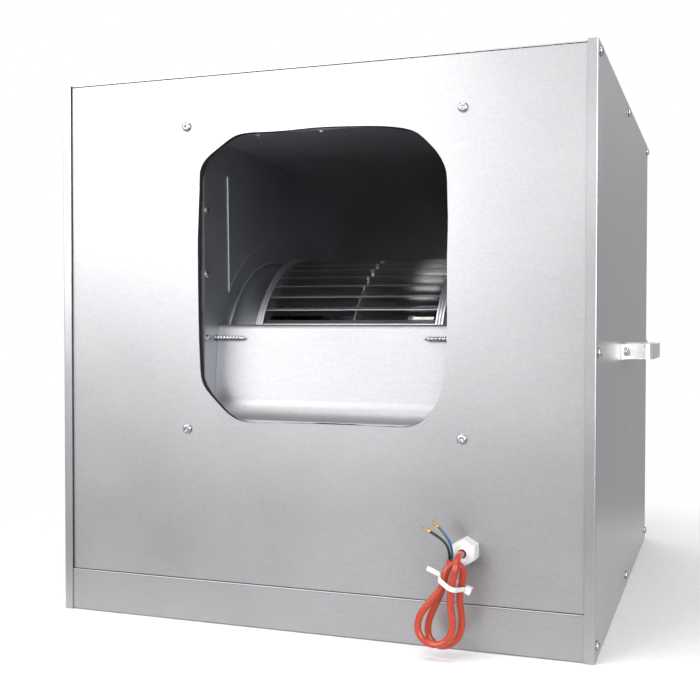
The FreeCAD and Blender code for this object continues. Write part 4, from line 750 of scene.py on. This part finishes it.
def gland_seal():
    """A ring between the cord and the gland's cap."""
    low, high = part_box("gland_cap")
    centre = (low + high) / 2
    turns = full_turn(GLAND_SEAL_AROUND)
    rings = []
    for radius, deep in GLAND_SEAL + GLAND_SEAL[:1]:
        rings.append([Vector((centre.x + radius * MM * math.cos(a), low.y + deep * MM,
                              centre.z + radius * MM * math.sin(a))) for a in turns])
    verts, faces = lofted(rings, closed_ends=False)
    piece_from("gland_seal", verts, faces, RUBBER)


gland_seal()


# Hemmed top edge of the tray's front and rear walls, and a thin black strip between it and the panel, which
# is painted shade for the dark line of the seam

HEM_Z = 38.0           # millimetres
HEM_Y = 268.55
HEM_R = 0.75
HEM_HALF = 247.5
# The black strip is painted shade: it stands where the gap above the hem lies only in shadow
SEAM_SHADE_Y = 267.85
SEAM_SHADE_R = 0.45
ROLL_AROUND = 16


def edge_roll(name, y, z, radius, squash, material):
    """A slim roll along the width, rounded at its ends."""
    turns = full_turn(ROLL_AROUND)
    stops = [(-HEM_HALF, 0.3), (0.4 - HEM_HALF, 0.8), (1.0 - HEM_HALF, 1.0)]
    stops += [(-x, share) for x, share in reversed(stops)]
    rings = [[Vector((x, y + radius * share * math.cos(a), z + radius * squash * share * math.sin(a))) * MM
              for a in turns] for x, share in stops]
    verts, faces = lofted(rings)
    piece_from(name, verts, faces, material)


for face, side in (("front", -1), ("rear", 1)):
    edge_roll("tray_hem_" + face, side * HEM_Y, HEM_Z, HEM_R, 1.0, PANEL_STEEL)
    # painted shade: a black strip for the dark shadow line of the seam above the hem
    edge_roll("tray_seam_shade_strip_" + face, side * SEAM_SHADE_Y, HEM_Z + HEM_R, SEAM_SHADE_R / 2, 2.0, RUBBER)


# Studio, in metres and watts

FLOOR_HALF = 6.0
FLOOR_DROP = 0.0005    # the floor lies this far under the box
FLOOR_SEEN = (0.30, 0.66)      # it fades out between these distances from the middle of the box
SURROUND = (0.75, 0.56)        # strength of the surround in front of the box and behind it
FRONT_AIM = (0.0, -0.2, 0.35)
TOP_AIM = (0.0, -0.2, 0.2)
REAR_AIM = (0.0, 0.2, 0.3)
SOFT_BOXES = [         # name, place, aim, width, height, power
    ("key_soft_box", (-1.65, -2.45, 1.4), FRONT_AIM, 2.4, 1.9, 73),
    ("low_soft_box", (-0.75, -2.7, 0.45), FRONT_AIM, 0.7, 0.5, 7),
    ("right_soft_box", (1.6, -2.4, 0.85), FRONT_AIM, 2.2, 1.6, 65),
    ("top_soft_box", (0.0, -0.95, 2.2), TOP_AIM, 1.6, 0.7, 20),
    ("rear_left_soft_box", (-1.2, 2.5, 1.3), REAR_AIM, 3.0, 2.0, 42),
    ("rear_right_soft_box", (2.0, 2.1, 1.3), REAR_AIM, 1.5, 1.0, 7),
]


def soft_light(name, place, aim, wide, tall, power):
    data = bpy.data.lights.new(name, "AREA")
    data.shape = "RECTANGLE"
    data.size = wide
    data.size_y = tall
    data.energy = power
    lamp = placed(name, data)
    lamp.location = place
    lamp.rotation_euler = (Vector(aim) - Vector(place)).to_track_quat("-Z", "Y").to_euler()


def paper_floor():
    """White paper under the box, which fades into the white surround."""
    corners = ((-1, -1), (1, -1), (1, 1), (-1, 1))
    verts = [(x * FLOOR_HALF, y * FLOOR_HALF, -FLOOR_DROP) for x, y in corners]
    mesh = bpy.data.meshes.new("studio_floor")
    mesh.from_pydata(verts, [], [(0, 1, 2, 3)])
    material, shader = blank("white_paper")
    place = add(material, "ShaderNodeTexCoord").node.outputs["Object"]
    fibre = add(material, "ShaderNodeTexNoise", {"Vector": place, "Scale": per_metre(8.0)})
    colour = add(material, "ShaderNodeValToRGB", {"Fac": fibre}, [(0.3, "#dedede"), (0.7, "#e4e4e4")])
    distance = add(material, "ShaderNodeVectorMath", {"Vector": place}, operation="LENGTH")
    fade = add(material, "ShaderNodeMapRange", {
        "Value": distance.node.outputs["Value"], "From Min": FLOOR_SEEN[0], "From Max": FLOOR_SEEN[1],
        "To Min": 1.0, "To Max": 0.0}, interpolation_type="SMOOTHSTEP")
    add(material, shader, {"Base Color": colour, "Roughness": 0.9, "Alpha": fade})
    mesh.materials.append(material)
    floor = placed("studio_floor", mesh)


def surround():
    """White to the camera; what the box mirrors is a soft grey, darker behind it."""
    world = bpy.data.worlds.new("studio_surround")
    world.use_nodes = True
    bpy.context.scene.world = world
    seen = add(world, "ShaderNodeLightPath").node.outputs["Is Camera Ray"]
    way = add(world, "ShaderNodeTexCoord").node.outputs["Generated"]
    behind = add(world, "ShaderNodeSeparateXYZ", {"Vector": way}).node.outputs["Y"]
    strength = add(world, "ShaderNodeMapRange", {
        "Value": behind, "From Min": 0.2, "From Max": 0.9, "To Min": SURROUND[0], "To Max": SURROUND[1]})
    glow = add(world, "ShaderNodeBackground", {"Color": linear("#ececee"), "Strength": strength})
    white = add(world, "ShaderNodeBackground", {"Color": linear("#ffffff"), "Strength": 1.0})
    both = add(world, "ShaderNodeMixShader", {0: seen, 1: glow, 2: white})
    add(world, world.node_tree.nodes["World Output"], {"Surface": both})


paper_floor()
surround()
for soft_box in SOFT_BOXES:
    soft_light(*soft_box)
bpy.context.scene.view_settings.view_transform = "Standard"
